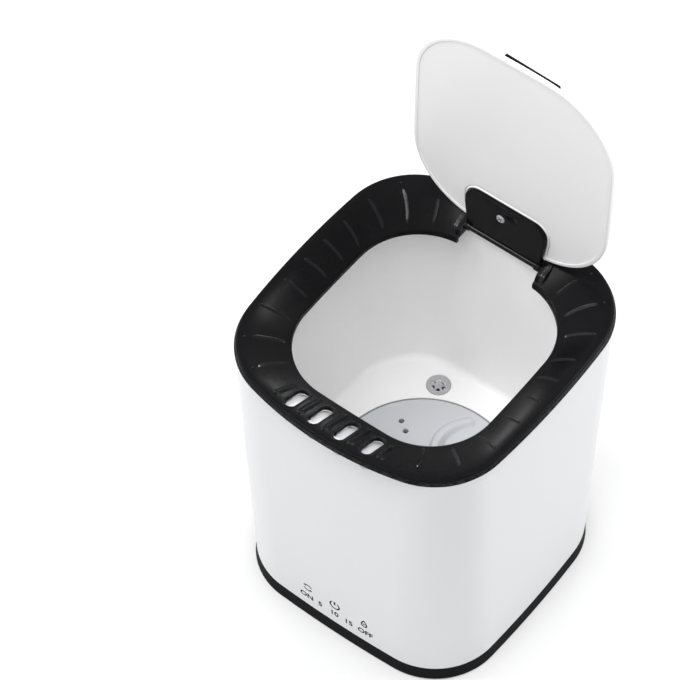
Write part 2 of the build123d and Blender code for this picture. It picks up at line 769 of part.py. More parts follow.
motor_foot = cover_bottom - motor_length
motor_step = 3.0
motor_shaft_foot = motor_foot + motor_step
motor_screw_head = 1.4
motor_screw_depth = 6.0
motor_room_foot = motor_shaft_foot + motor_can
motor_room_top = cover_bottom - motor_screw_depth - motor_can


def belt_face(growth, height):
    """A circle round the gear and one round the pinion with their common tangents."""
    large = case_gear_radius + growth
    small = case_pinion_radius + growth
    fall = (large - small) / gear_centre
    run = (1 - fall ** 2) ** 0.5
    with BuildSketch(level(height)) as face:
        Circle(large)
        with Locations((0, -gear_centre)):
            Circle(small)
        with BuildLine():
            Polyline((large * run, -large * fall), (small * run, -gear_centre - small * fall),
                     (-small * run, -gear_centre - small * fall), (-large * run, -large * fall),
                     close=True)
        make_face()
    return face.sketch


with BuildPart() as gearbox_case:
    extrude(belt_face(gearbox_wall, case_bottom), amount=case_top - case_bottom)
    extrude(belt_face(0, case_bottom), amount=hub_bottom - case_bottom, mode=Mode.SUBTRACT)
    rod(0, 0, hub_bottom, case_top, hub_radius + seat_gap, Mode.SUBTRACT)
    for x, y in ear_points:
        rod(x, y, case_bottom, case_top, ear_radius)
        rod(x, y, case_bottom, case_top, screw_hole, Mode.SUBTRACT)

with BuildPart() as gearbox_cover:
    extrude(belt_face(gearbox_wall, cover_bottom), amount=gearbox_wall)
    for x, y in ear_points:
        rod(x, y, cover_bottom, case_bottom, ear_radius)
        rod(x, y, cover_bottom, case_bottom, screw_hole, Mode.SUBTRACT)
    rod(0, -gear_centre, cover_bottom, case_bottom, motor_boss_radius + fit_gap, Mode.SUBTRACT)
    for x in (-motor_screw_offset, motor_screw_offset):
        rod(x, -gear_centre, cover_bottom, case_bottom, screw_hole, Mode.SUBTRACT)
        rod(x, -gear_centre, case_bottom - motor_screw_head, case_bottom,
            screw_head_radius + fit_gap, Mode.SUBTRACT)

with BuildPart() as gearbox_screws:
    for x, y in ear_points:
        rod(x, y, cover_bottom - screw_head_height, cover_bottom, screw_head_radius)
        rod(x, y, cover_bottom, recess_floor - tub_flange - wall, screw_radius)

with BuildPart() as wash_motor:
    rod(0, -gear_centre, motor_foot + motor_step, cover_bottom, motor_radius)
    chamfer(wash_motor.faces().sort_by(Axis.Z)[0].edges(), motor_step / 2)
    rod(0, -gear_centre, motor_foot, motor_foot + motor_step, motor_boss_radius)
    rod(0, -gear_centre, cover_bottom, case_bottom, motor_boss_radius)
    rod(0, -gear_centre, motor_room_foot, motor_room_top, motor_radius - motor_can,
        Mode.SUBTRACT)
    rod(0, -gear_centre, motor_shaft_foot, case_bottom, motor_shaft_radius + running_gap,
        Mode.SUBTRACT)
    for x in (-motor_screw_offset, motor_screw_offset):
        rod(x, -gear_centre, cover_bottom - motor_screw_depth, cover_bottom, screw_hole,
            Mode.SUBTRACT)

with BuildPart() as motor_screws:
    for x in (-motor_screw_offset, motor_screw_offset):
        rod(x, -gear_centre, case_bottom - motor_screw_head, case_bottom, screw_head_radius)
        rod(x, -gear_centre, cover_bottom - motor_screw_depth + fit_gap,
            case_bottom - motor_screw_head, screw_radius)

with BuildPart() as motor_armature:
    rod(0, -gear_centre, motor_room_foot + armature_air, motor_room_top - armature_air,
        motor_radius - motor_can - armature_air)
    rod(0, -gear_centre, motor_room_foot + armature_air, motor_room_top - armature_air,
        motor_shaft_radius + pin_grip, Mode.SUBTRACT)

with BuildPart() as motor_shaft:
    rod(0, -gear_centre, motor_shaft_foot + fit_gap, gear_top, motor_shaft_radius)


# Drain pump: volute with two spouts, impeller and motor

pump_wall = 2.2
pump_room = 16.5
pump_ceiling = pump_floor + pump_height
pump_spout_top = pump_ceiling + spout_length
impeller_foot = pump_floor + pump_wall + 1.0
impeller_top = pump_ceiling - pump_wall - 1.8
impeller_disc = 1.5
impeller_hub = 4.5
impeller_vane = 1.6
outlet_y = pump_y + outlet_offset
outlet_tip = pump_x + pump_radius + 8.0
pump_motor_foot = pan_top + 3.0

with BuildPart() as pump_body:
    rod(pump_x, pump_y, pump_floor, pump_ceiling, pump_radius)
    rod(pump_x, pump_y, pump_ceiling, pump_spout_top, spout_radius)
    with BuildSketch(Plane.YZ.offset(pump_x)):
        with Locations((outlet_y, outlet_height)):
            Circle(spout_radius)
    extrude(amount=outlet_tip - pump_x)
    rod(pump_x, pump_y, pump_floor + pump_wall, pump_ceiling - pump_wall, pump_room,
        Mode.SUBTRACT)
    rod(pump_x, pump_y, pump_ceiling - pump_wall, pump_spout_top, spout_bore, Mode.SUBTRACT)
    rod(pump_x, pump_y, pump_floor, pump_floor + pump_wall, pump_shaft_radius + running_gap,
        Mode.SUBTRACT)
    with BuildSketch(Plane.YZ.offset(pump_x)):
        with Locations((outlet_y, outlet_height)):
            Circle(spout_bore - fit_gap)
    extrude(amount=outlet_tip - pump_x, mode=Mode.SUBTRACT)

with BuildPart() as pump_impeller:
    rod(pump_x, pump_y, impeller_foot, impeller_foot + impeller_disc, impeller_radius)
    with BuildSketch(level(impeller_foot)):
        with Locations((pump_x, pump_y)):
            Circle(impeller_hub)
            with PolarLocations(0, impeller_vanes):
                Rectangle(impeller_radius, impeller_vane, align=(Align.MIN, Align.CENTER))
    extrude(amount=impeller_top - impeller_foot)
    rod(pump_x, pump_y, impeller_foot, impeller_top, pump_shaft_radius + pin_grip, Mode.SUBTRACT)

with BuildPart() as pump_shaft:
    rod(pump_x, pump_y, pump_motor_foot + fit_gap, impeller_top, pump_shaft_radius)

with BuildPart() as pump_motor:
    rod(pump_x, pump_y, pan_top, pump_floor, pump_motor_radius)
    chamfer(pump_motor.edges().group_by(Axis.Z)[-1], fit_gap * 10)
    rod(pump_x, pump_y, pump_motor_foot, pump_floor, pump_shaft_radius + running_gap,
        Mode.SUBTRACT)


# Drain hoses, the rear spigot and the clamps

hose_inside = spout_radius + fit_gap
hose_outside = hose_inside + hose_wall
hose_end = 2.0            # a hose stops this far before the wall behind its spout
spigot_foot = outlet_y + outlet_bend + seat_gap
hose_start = (pump_x + pump_radius + hose_end / 2, outlet_y)
hose_corner = (spigot_x, outlet_y)
hose_stop = (spigot_x, spigot_pad_in - nut_thickness - hose_end / 2)
spigot_tip = deck_front
nut_radius = flange_radius - 1.0

with BuildPart() as pump_inlet_hose:
    rod(pump_x, pump_y, pump_ceiling + hose_end, tub_underside - hose_end, hose_outside)
    rod(pump_x, pump_y, pump_ceiling + hose_end, tub_underside - hose_end, hose_inside,
        Mode.SUBTRACT)

with BuildPart() as pump_outlet_hose:
    with BuildLine(level(outlet_height)) as hose_path:
        FilletPolyline(hose_start, hose_corner, hose_stop, radius=outlet_bend)
    with BuildSketch(Plane.YZ.offset(hose_start[0])):
        with Locations((outlet_y, outlet_height)):
            Circle(hose_outside)
            Circle(hose_inside, mode=Mode.SUBTRACT)
    sweep()

with BuildPart() as hose_clamps:
    for height in (pump_spout_top - spout_length / 2, tub_underside - spout_length / 2):
        rod(pump_x, pump_y, height - clamp_width / 2, height + clamp_width / 2,
            hose_outside + fit_gap + clamp_thickness)
        rod(pump_x, pump_y, height - clamp_width / 2, height + clamp_width / 2,
            hose_outside + fit_gap, Mode.SUBTRACT)
    with BuildSketch(Plane.YZ.offset(hose_start[0] + hose_end / 2)):
        with Locations((outlet_y, outlet_height)):
            Circle(hose_outside + fit_gap + clamp_thickness)
            Circle(hose_outside + fit_gap, mode=Mode.SUBTRACT)
    extrude(amount=clamp_width)
    clamp_end = hose_stop[1] - seat_gap
    rear_rod(spigot_x, outlet_height, clamp_end - clamp_width, clamp_end,
             hose_outside + fit_gap + clamp_thickness)
    rear_rod(spigot_x, outlet_height, clamp_end - clamp_width, clamp_end,
             hose_outside + fit_gap, Mode.SUBTRACT)

with BuildPart() as drain_spigot:
    rear_rod(spigot_x, outlet_height, spigot_foot, spigot_tip, spout_radius)
    rear_rod(spigot_x, outlet_height, spigot_pad_out, spigot_pad_out + flange_thickness,
             flange_radius)
    rear_rod(spigot_x, outlet_height, spigot_foot, spigot_tip, spout_bore, Mode.SUBTRACT)

with BuildPart() as spigot_nut:
    with BuildSketch(Plane.XZ.offset(-spigot_pad_in)):
        with Locations((spigot_x, outlet_height)):
            RegularPolygon(nut_radius, 6)
            Circle(spout_radius + fit_gap, mode=Mode.SUBTRACT)
    extrude(amount=nut_thickness)


# Electrics: touch board behind the front wall, power board in the pan, inlet at the rear

board_reach = wall_at(board_width / 2, board_bottom) - wall - board_gap
board_back = board_reach - board_thickness
holder_thickness = 3.0
holder_bar = 10.0
holder_foot = 14.0
holder_foot_height = 2.5
board_screw_radius = 1.2
board_screw_head = 1.2
board_screws_at = [(x, z) for x in (-board_width / 2 + holder_bar / 2,
                                    board_width / 2 - holder_bar / 2)
                   for z in (board_bottom + holder_bar / 2,
                             board_bottom + board_height - holder_bar / 2)]
pad_reach = wall_at(pad_spacing, board_bottom) - wall - 2 * seat_gap
power_board_bottom = pan_top + standoff_height
power_board_top = power_board_bottom + board_thickness
power_screw_radius = screw_radius / 2
power_blocks = [(-12.0, 0.0, (18.0, 16.0, 14.0)), (8.0, 5.0, (14.0, 10.0, 9.0))]
capacitor_at = (8.0, 10.0)
capacitor_radius = 4.0
capacitor_height = 12.0
socket_pin_sink = 1.0
socket_flange_thickness = 1.4
socket_nut_thickness = 3.0
socket_length = 18.0
socket_face = socket_pad_out + socket_flange_thickness

with BuildPart() as control_board:
    with BuildSketch(Plane.XZ.offset(board_back)):
        with Locations((0, board_bottom + board_height / 2)):
            RectangleRounded(board_width, board_height, wall)
        with Locations(*board_screws_at):
            Circle(board_screw_radius + fit_gap, mode=Mode.SUBTRACT)
    extrude(amount=board_thickness)

with BuildPart() as board_holder:
    with BuildSketch(Plane.XZ.offset(board_back - holder_thickness)):
        for side in (-1, 1):
            with Locations((side * (board_width - holder_bar) / 2, pan_top)):
                Rectangle(holder_bar, board_bottom + board_height - pan_top,
                          align=(Align.CENTER, Align.MIN))
        with Locations((0, pan_top)):
            Rectangle(board_width, holder_bar, align=(Align.CENTER, Align.MIN))
        with Locations(*board_screws_at):
            Circle(board_screw_radius + fit_gap, mode=Mode.SUBTRACT)
    extrude(amount=holder_thickness)
    with BuildSketch(level(pan_top)):
        with Locations((0, -board_back + holder_thickness)):
            Rectangle(board_width, holder_foot, align=(Align.CENTER, Align.MIN))
    extrude(amount=holder_foot_height)

with BuildPart() as board_screws:
    with BuildSketch(Plane.XZ.offset(board_reach)):
        with Locations(*board_screws_at):
            Circle(2 * board_screw_radius)
    extrude(amount=board_screw_head)
    with BuildSketch(Plane.XZ.offset(board_reach)):
        with Locations(*board_screws_at):
            Circle(board_screw_radius)
    extrude(amount=-board_thickness - holder_thickness)

with BuildPart() as touch_pads:
    with BuildSketch(Plane.XZ.offset(board_reach)):
        with Locations((-pad_spacing, pad_height), (0, pad_height), (pad_spacing, pad_height)):
            Circle(pad_radius)
    extrude(amount=pad_reach - board_reach)

with BuildPart() as power_board:
    with BuildSketch(level(power_board_bottom)):
        with Locations((power_board_x, power_board_y)):
            Rectangle(*power_board_size)
        with Locations(*power_corners):
            Circle(power_screw_radius + fit_gap, mode=Mode.SUBTRACT)
    extrude(amount=board_thickness)
    for along, across, size in power_blocks:
        with Locations((power_board_x + across, power_board_y + along, power_board_top)):
            Box(*size, align=(Align.CENTER, Align.CENTER, Align.MIN))
    rod(power_board_x - capacitor_at[0], power_board_y + capacitor_at[1], power_board_top,
        power_board_top + capacitor_height, capacitor_radius)

with BuildPart() as power_board_screws:
    for x, y in power_corners:
        rod(x, y, power_board_top, power_board_top + board_screw_head, 2 * power_screw_radius)
        rod(x, y, pan_top + fit_gap, power_board_top, power_screw_radius)

with BuildPart() as power_socket:
    rear_rod(socket_x, socket_height, socket_face - socket_length, socket_face, socket_radius)
    rear_rod(socket_x, socket_height, socket_pad_out, socket_face, socket_flange)
    rear_rod(socket_x, socket_height, socket_face - socket_depth, socket_face, socket_bore,
             Mode.SUBTRACT)
    rear_rod(socket_x, socket_height, socket_face - socket_depth, socket_face - socket_pin_sink,
             socket_pin)

with BuildPart() as socket_nut:
    with BuildSketch(Plane.XZ.offset(-socket_pad_in)):
        with Locations((socket_x, socket_height)):
            RegularPolygon(socket_flange, 6)
            Circle(socket_radius + fit_gap, mode=Mode.SUBTRACT)
    extrude(amount=socket_nut_thickness)


# Lid: a domed shell on a hinge plate, drawn in its own plane with its middle line along Y

lid_plane = Plane(origin=(0, hinge_y, hinge_z), x_dir=(-1, 0, 0),
                  z_dir=(0, cos(radians(lid_lean)), -sin(radians(lid_lean))))
lid_middle = (lid_near + lid_far) / 2
lid_outline = even_outline(lid_half, (lid_far - lid_near) / 2, lid_corner, lid_bow)
lid_crest = lid_seat + lid_dome
dome_centre = lid_plane.from_local_coords((0, lid_middle, lid_crest - lid_dome_radius))
plate_top = lid_seat - plate_thickness
plate_slope_far = 30.0
plate_pad = 3.8           # the solid pad under the plate reaches this far round it
pad_depth = 2.5
plate_boss = 5.0
plate_screw_end = 8.0
plate_screw_head = 1.6
grip_corner = 3.0


def lid_level(along, out):
    """A plane parallel to the lid's rim, some way from the hinge and out from it."""
    return Plane(origin=lid_plane.from_local_coords((0, along, out)),
                 x_dir=lid_plane.x_dir, z_dir=lid_plane.z_dir)


def plate_face(growth, out):
    """The hinge plate's outline, narrow at the barrel and wide at the far end."""
    with BuildSketch(lid_level(0, out)) as face:
        with BuildLine():
            Polyline((barrel_half + growth, 0), (barrel_half + growth, plate_straight),
                     (plate_half + growth, plate_slope_far), (plate_half + growth,
                     plate_far + growth), (-plate_half - growth, plate_far + growth),
                     (-plate_half - growth, plate_slope_far), (-barrel_half - growth,
                     plate_straight), (-barrel_half - growth, 0), close=True)
        make_face()
        fillet(face.vertices().group_by(Axis.Y)[-1], plate_corner + growth)
    return face.sketch


def plate_rod(start, end, radius, mode=Mode.ADD):
    """A cylinder through the hinge plate's screw place, square to the lid."""
    with BuildSketch(lid_level(plate_screw_at, start)) as disc:
        Circle(radius)
    extrude(disc.sketch, amount=end - start, mode=mode)


def hinge_rod(half_length, radius, mode=Mode.ADD):
    """A cylinder round the hinge's axis."""
    with BuildSketch(Plane.YZ) as disc:
        with Locations((hinge_y, hinge_z)):
            Circle(radius)
    extrude(disc.sketch, amount=half_length, both=True, mode=mode)


with BuildPart() as lid_hollow:
    extrude(section(lid_outline.grown(-lid_rim), lid_level(lid_middle, lid_seat)),
            amount=lid_dome)
    with Locations(dome_centre):
        Sphere(lid_dome_radius - lid_wall, mode=Mode.INTERSECT)
    extrude(plate_face(plate_pad, lid_seat), amount=pad_depth, mode=Mode.SUBTRACT)
    plate_rod(lid_seat, lid_crest, plate_boss, Mode.SUBTRACT)

with BuildPart() as lid_shell:
    extrude(section(lid_outline, lid_level(lid_middle, lid_seat)), amount=lid_dome)
    with Locations(dome_centre):
        Sphere(lid_dome_radius, mode=Mode.INTERSECT)
    fillet(lid_shell.faces().filter_by(GeomType.SPHERE).edges(), lid_edge_round)
    add(lid_hollow.part, mode=Mode.SUBTRACT)
    plate_rod(lid_seat, plate_screw_end + seat_gap, screw_hole, Mode.SUBTRACT)

with BuildPart() as lid_liner:
    extrude(section(lid_outline.grown(-lid_rim - seat_gap),
                    lid_level(lid_middle, lid_seat + liner_sink)), amount=liner_thickness)
    extrude(plate_face(plate_pad + seat_gap, lid_seat + liner_sink), amount=liner_thickness,
            mode=Mode.SUBTRACT)

with BuildPart() as hinge_plate:
    extrude(plate_face(0, plate_top), amount=plate_thickness)
    hinge_rod(barrel_half, barrel_radius)
    hinge_rod(barrel_half, hinge_pin_radius + running_gap, Mode.SUBTRACT)
    plate_rod(plate_top, lid_seat, screw_hole, Mode.SUBTRACT)

with BuildPart() as hinge_pin:
    hinge_rod(notch_half + lug_width - seat_gap, hinge_pin_radius)

with BuildPart() as hinge_screw:
    plate_rod(plate_top - plate_screw_head, plate_top, screw_head_radius)
    plate_rod(plate_top, plate_screw_end, screw_radius)

with BuildPart() as lid_grip:
    with BuildSketch(lid_level(grip_far - grip_depth / 2, lid_seat)):
        with Locations((-grip_offset, 0)):
            RectangleRounded(grip_width, grip_depth, grip_corner)
    extrude(amount=lid_dome + grip_height)
    with Locations(dome_centre):
        Sphere(lid_dome_radius + grip_height, mode=Mode.INTERSECT)
        Sphere(lid_dome_radius + fit_gap, mode=Mode.SUBTRACT)


# Every piece goes into a file of its own name

pieces = {
    "base_pan": base_pan, "rubber_feet": rubber_feet, "base_screws": base_screws,
    "outer_housing": outer_housing, "wash_tub": wash_tub, "drain_strainer": drain_strainer,
    "deck_ring": deck_ring, "deck_gasket": deck_gasket, "deck_screws": deck_screws,
    "pulsator": pulsator, "pulsator_cap": pulsator_cap, "pulsator_screw": pulsator_screw,
    "drive_gear": drive_gear, "drive_shaft": drive_shaft, "gear_clip": gear_clip,
    "motor_pinion": motor_pinion, "upper_bearing": upper_bearing,
    "lower_bearing": lower_bearing, "shaft_seal": shaft_seal, "gearbox_case": gearbox_case,
    "gearbox_cover": gearbox_cover, "gearbox_screws": gearbox_screws,
    "wash_motor": wash_motor, "motor_armature": motor_armature,
    "motor_screws": motor_screws, "motor_shaft": motor_shaft,
    "pump_body": pump_body, "pump_impeller": pump_impeller, "pump_shaft": pump_shaft,
    "pump_motor": pump_motor, "pump_inlet_hose": pump_inlet_hose,
    "pump_outlet_hose": pump_outlet_hose, "hose_clamps": hose_clamps,
    "drain_spigot": drain_spigot, "spigot_nut": spigot_nut,
    "control_board": control_board, "board_holder": board_holder,
    "board_screws": board_screws, "touch_pads": touch_pads, "power_board": power_board,
    "power_board_screws": power_board_screws, "power_socket": power_socket,
    "socket_nut": socket_nut, "lid_shell": lid_shell, "lid_liner": lid_liner,
    "hinge_plate": hinge_plate, "hinge_pin": hinge_pin, "hinge_screw": hinge_screw,
    "lid_grip": lid_grip,
}
os.makedirs("parts", exist_ok=True)
for name, piece in pieces.items():
    piece.part.label = name
    export_step(piece.part, f"parts/{name}.step")
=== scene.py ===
"""The looks of a mini washing machine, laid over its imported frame.

Sizes are millimetres in the model's own frame: the floor at z 0 and the front towards -Y.
Each sub-assembly is a class that holds its sizes, works out its surfaces and gives every
one of its pieces a finish. A surface is a stack of rings of points. The rings run
anticlockwise, up the outside, inwards over the top and down the inside, so that the face
(i, j), (i, j+1), (i+1, j+1), (i+1, j) points outwards.
"""
import logging
import math
from dataclasses import dataclass, field, replace
from enum import Enum
from typing import Sequence

import bmesh
import bpy
import numpy as np
from mathutils import Matrix, Vector


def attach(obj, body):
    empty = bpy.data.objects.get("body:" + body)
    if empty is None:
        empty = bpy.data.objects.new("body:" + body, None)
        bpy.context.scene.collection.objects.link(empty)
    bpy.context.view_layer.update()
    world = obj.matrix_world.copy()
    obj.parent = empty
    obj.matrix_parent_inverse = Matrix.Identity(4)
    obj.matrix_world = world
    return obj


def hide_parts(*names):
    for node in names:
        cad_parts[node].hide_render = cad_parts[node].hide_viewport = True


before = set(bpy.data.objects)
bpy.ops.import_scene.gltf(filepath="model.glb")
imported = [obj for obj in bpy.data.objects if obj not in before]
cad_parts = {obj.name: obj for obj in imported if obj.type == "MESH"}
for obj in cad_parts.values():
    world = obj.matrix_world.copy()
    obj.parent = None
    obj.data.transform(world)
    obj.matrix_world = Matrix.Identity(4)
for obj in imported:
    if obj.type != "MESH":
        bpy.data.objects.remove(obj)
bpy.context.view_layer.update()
log = logging.getLogger("washer")

MM = 0.001
FULL_TURN = 2.0 * math.pi
DUST_COLOUR = (0.55, 0.54, 0.52, 1.0)
# Colour of the painted shade that darkens crevices and recesses.
CREVICE_SHADE_COLOUR = (0.012, 0.012, 0.012, 1.0)


class Body(Enum):
    """The moving bodies that new pieces ride on."""

    FIXED = "body"
    LID = "lid"
    PULSATOR = "pulsator_drive"


# Surfaces

@dataclass
class Surface:
    """Points in millimetres with the quads and triangles between them."""

    points: np.ndarray
    quads: np.ndarray
    triangles: np.ndarray = field(default_factory=lambda: np.zeros((0, 3), int))

    def faces(self) -> list[list[int]]:
        """All faces as plain lists."""
        return self.quads.tolist() + self.triangles.tolist()


def joined(surfaces: Sequence[Surface]) -> Surface:
    """Several surfaces as one, the indices of each moved on by the points before it."""
    starts = np.cumsum([0] + [len(s.points) for s in surfaces[:-1]])
    return Surface(np.concatenate([s.points for s in surfaces]),
                   np.concatenate([s.quads + n for s, n in zip(surfaces, starts)]),
                   np.concatenate([s.triangles + n for s, n in zip(surfaces, starts)]))


def grid_quads(rows: int, columns: int, close_rows: bool) -> np.ndarray:
    """Quads of a grid of points whose columns close on themselves.

    Args:
        rows: number of rings.
        columns: number of points in a ring.
        close_rows: whether the last ring joins the first, as on a tyre.

    Returns:
        The four point indices of each face, (i, j), (i, j+1), (i+1, j+1), (i+1, j).
    """
    i, j = np.meshgrid(np.arange(rows if close_rows else rows - 1), np.arange(columns),
                       indexing="ij")
    k, m = (i + 1) % rows, (j + 1) % columns
    corners = (i * columns + j, i * columns + m, k * columns + m, k * columns + j)
    return np.stack(corners, axis=-1).reshape(-1, 4)


def tyre(rings: np.ndarray) -> Surface:
    """A stack of rings whose last ring joins the first."""
    rows, columns = rings.shape[:2]
    return Surface(rings.reshape(-1, 3), grid_quads(rows, columns, True))


def capped(rings: np.ndarray) -> Surface:
    """A stack of rings closed at both ends by a fan round the mean of the end ring."""
    rows, columns = rings.shape[:2]
    points = np.concatenate([rings.reshape(-1, 3), rings[0].mean(axis=0)[None],
                             rings[-1].mean(axis=0)[None]])
    here = np.arange(columns)
    there = (here + 1) % columns
    low, high = np.full(columns, rows * columns), np.full(columns, rows * columns + 1)
    top = (rows - 1) * columns
    fans = np.concatenate([np.stack([low, there, here], axis=1),
                           np.stack([high, top + here, top + there], axis=1)])
    return Surface(points, grid_quads(rows, columns, False), fans)


def lifted(plan: np.ndarray, height: float | np.ndarray) -> np.ndarray:
    """Points of a plan, (n, 2), with a height or heights as third coordinate."""
    return np.concatenate([plan, np.broadcast_to(height, (len(plan),))[:, None]], axis=1)


def quarter(radius: float, count: int = 5) -> tuple[np.ndarray, np.ndarray]:
    """Sine and one less cosine of a quarter turn, times a radius, for rounded edges."""
    turn = np.linspace(0, math.pi / 2, count)
    return radius * np.sin(turn), radius * (1 - np.cos(turn))


def smooth_step(value: np.ndarray) -> np.ndarray:
    """3 t^2 - 2 t^3 of a value held between 0 and 1."""
    t = np.clip(value, 0, 1)
    return t * t * (3 - 2 * t)


def arc(centre: np.ndarray, radius: float, start: float, stop: float, count: int) -> np.ndarray:
    """Points centre + radius (cos t, sin t) from start the short way to stop, less the last."""
    sweep = (stop - start + math.pi) % FULL_TURN - math.pi
    turn = start + sweep * np.arange(count) / count
    return centre + radius * np.stack([np.cos(turn), np.sin(turn)], axis=1)


def circle_through(a: np.ndarray, b: np.ndarray, c: np.ndarray) -> tuple[np.ndarray, float]:
    """The circle through three points: 2 (b - a) . m = b.b - a.a, and the same for c."""
    rows = 2 * np.array([b - a, c - a])
    middle = np.linalg.solve(rows, np.array([b @ b - a @ a, c @ c - a @ a]))
    return middle, float(np.linalg.norm(a - middle))


@dataclass(frozen=True)
class Outline:
    """Four shallow arcs, one a side, that meet in rounded corners."""

    half: float
    front: float
    back: float
    corner: float
    side_bow: float
    front_bow: float
    back_bow: float

    @staticmethod
    def even(half: float, depth: float, corner: float, bow: float) -> "Outline":
        """An outline that is the same at the front and the back."""
        return Outline(half, depth, depth, corner, bow, bow, bow)

    def grown(self, by: float) -> "Outline":
        """The same outline with every side moved out by a distance."""
        return replace(self, half=self.half + by, front=self.front + by,
                       back=self.back + by, corner=self.corner + by)

    def towards(self, other: "Outline", share: float) -> "Outline":
        """The outline a share of the way from this one to another."""
        return Outline(*(mine + share * (yours - mine) for mine, yours
                         in zip(vars(self).values(), vars(other).values())))

    def points(self, side: int = 22, corner: int = 24) -> np.ndarray:
        """The outline as points, anticlockwise from the front end of the +X side.

        The four sides are circles through their ends and their middle. A corner's
        circle touches both of its sides from within, so its centre lies at their
        radius less the corner's from each of their centres.

        Args:
            side: points on each side.
            corner: points on each corner.

        Returns:
            An array of 4 (side + corner) points.
        """
        x = self.half - self.side_bow
        front, back = self.front_bow - self.front, self.back - self.back_bow
        ends = np.array([(x, front), (x, back), (-x, back), (-x, front)])
        crests = np.array([(self.half, 0), (0, self.back), (-self.half, 0), (0, -self.front)])
        sides = [circle_through(ends[i], crests[i], ends[(i + 1) % 4]) for i in range(4)]
        corners = []
        for i in range(4):
            (a, ra), (b, rb) = sides[i], sides[(i + 1) % 4]
            ra, rb, across = ra - self.corner, rb - self.corner, b - a
            gap = float(np.linalg.norm(across))
            along = (ra * ra - rb * rb + gap * gap) / (2 * gap)
            off = math.sqrt(max(ra * ra - along * along, 0.0))
            foot, turned = a + along * across / gap, np.array([-across[1], across[0]]) / gap
            corners.append(min((foot + off * turned, foot - off * turned),
                               key=lambda p, e=ends[(i + 1) % 4]: float(np.linalg.norm(p - e))))
        pieces = []
        for i in range(4):
            (a, ra), (b, _) = sides[i], sides[(i + 1) % 4]
            start = math.atan2(*(corners[i - 1] - a)[::-1])
            stop = math.atan2(*(corners[i] - a)[::-1])
            turn = math.atan2(*(corners[i] - b)[::-1])
            pieces += [arc(a, ra, start, stop, side),
                       arc(corners[i], self.corner, stop, turn, corner)]
        return np.concatenate(pieces)

    def reach(self, bearing: np.ndarray) -> np.ndarray:
        """Distance of the outline from the middle at each bearing, read off its points."""
        plan = self.points()
        return np.interp(bearing, np.arctan2(plan[:, 1], plan[:, 0]),
                         np.hypot(plan[:, 0], plan[:, 1]), period=FULL_TURN)


def revolved(profile: Sequence[tuple[float, float]], count: int) -> np.ndarray:
    """Rings (r cos t, r sin t, z), one for each radius and height of a profile."""
    r, z = np.array(profile, float).T
    turn = FULL_TURN * np.arange(count) / count
    flat = np.stack([np.outer(r, np.cos(turn)), np.outer(r, np.sin(turn))], axis=-1)
    return np.concatenate([flat, np.broadcast_to(z[:, None, None], (*flat.shape[:2], 1))], axis=-1)


def stadium(x: float, y: float, length: float, width: float, count: int = 28) -> np.ndarray:
    """A slot's outline along Y: two half circles, moved apart by the straight part."""
    turn = FULL_TURN * (np.arange(2 * count) + 0.5) / (2 * count)
    shift = np.where(np.sin(turn) > 0, 1, -1) * (length - width) / 2
    return np.stack([x + width / 2 * np.cos(turn), y + width / 2 * np.sin(turn) + shift], axis=1)


# Pieces

def linked(name: str, data: bpy.types.ID) -> bpy.types.Object:
    """A new object that holds some data, linked into the scene."""
    thing = bpy.data.objects.new(name, data)
    bpy.context.scene.collection.objects.link(thing)
    return thing


def new_piece(name: str, surface: Surface, slot: str, body: Body,
              stands_for: Sequence[str] = (), crease: float = 32.0,
              turn_out: bool = False, polish: float = 0.0) -> bpy.types.Object:
    """Makes a piece of the model from a surface.

    Args:
        name: the piece's name.
        surface: its points and faces, in millimetres.
        slot: the record's material slot that it takes its finish from.
        body: the body that it rides on.
        stands_for: nodes of the frame that it replaces.
        crease: edges sharper than this many degrees stay sharp.
        turn_out: whether its faces are turned outwards once it is closed.
        polish: how far its finish is rubbed smooth, which its mesh carries.

    Returns:
        The new object.
    """
    mesh = bpy.data.meshes.new(name)
    mesh.from_pydata((surface.points * MM).tolist(), [], surface.faces())
    work = bmesh.new()
    work.from_mesh(mesh)
    bmesh.ops.remove_doubles(work, verts=work.verts, dist=1e-6)
    bmesh.ops.dissolve_degenerate(work, edges=work.edges, dist=1e-7)
    if turn_out:
        bmesh.ops.recalc_face_normals(work, faces=work.faces)
    work.to_mesh(mesh)
    work.free()
    if polish:
        shine = mesh.attributes.new("polish", "FLOAT", "POINT")
        shine.data.foreach_set("value", np.full(len(mesh.vertices), polish))
    piece = linked(name, mesh)
    soften(piece, crease)
    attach(piece, body.value)
    if stands_for:
        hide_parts(*stands_for)
    piece.data.materials.append(FINISHES[slot].material())
    log.info("%s: %d faces", name, len(mesh.polygons))
    return piece


def soften(piece: bpy.types.Object, crease: float) -> None:
    """Shades a piece smoothly but for the edges sharper than a number of degrees."""
    piece.data.shade_smooth()
    piece.data.set_sharp_from_angle(angle=math.radians(crease))


def cut(piece: bpy.types.Object, tool: Surface, crease: float = 32.0) -> None:
    """Takes a closed surface out of a piece.

    Args:
        piece: the piece that is cut.
        tool: the surface taken out of it.
        crease: edges sharper than this many degrees stay sharp.
    """
    mesh = bpy.data.meshes.new("tool")
    mesh.from_pydata((tool.points * MM).tolist(), [], tool.faces())
    cutter = linked("tool", mesh)
    modifier = piece.modifiers.new("cut", "BOOLEAN")
    modifier.object, modifier.operation, modifier.solver = cutter, "DIFFERENCE", "EXACT"
    graph = bpy.context.evaluated_depsgraph_get()
    result = bpy.data.meshes.new_from_object(piece.evaluated_get(graph))
    piece.modifiers.clear()
    former, piece.data = piece.data, result
    bpy.data.meshes.remove(former)
    bpy.data.objects.remove(cutter)
    bpy.data.meshes.remove(mesh)
    soften(piece, crease)


def dress(nodes: dict[str, str]) -> None:
    """Gives nodes of the frame the finish of their slot, by node name."""
    for node, slot in nodes.items():
        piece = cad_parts[node]
        piece.data.materials.clear()
        piece.data.materials.append(FINISHES[slot].material())
        log.info("%s: dressed as %s", node, slot)


# Finishes

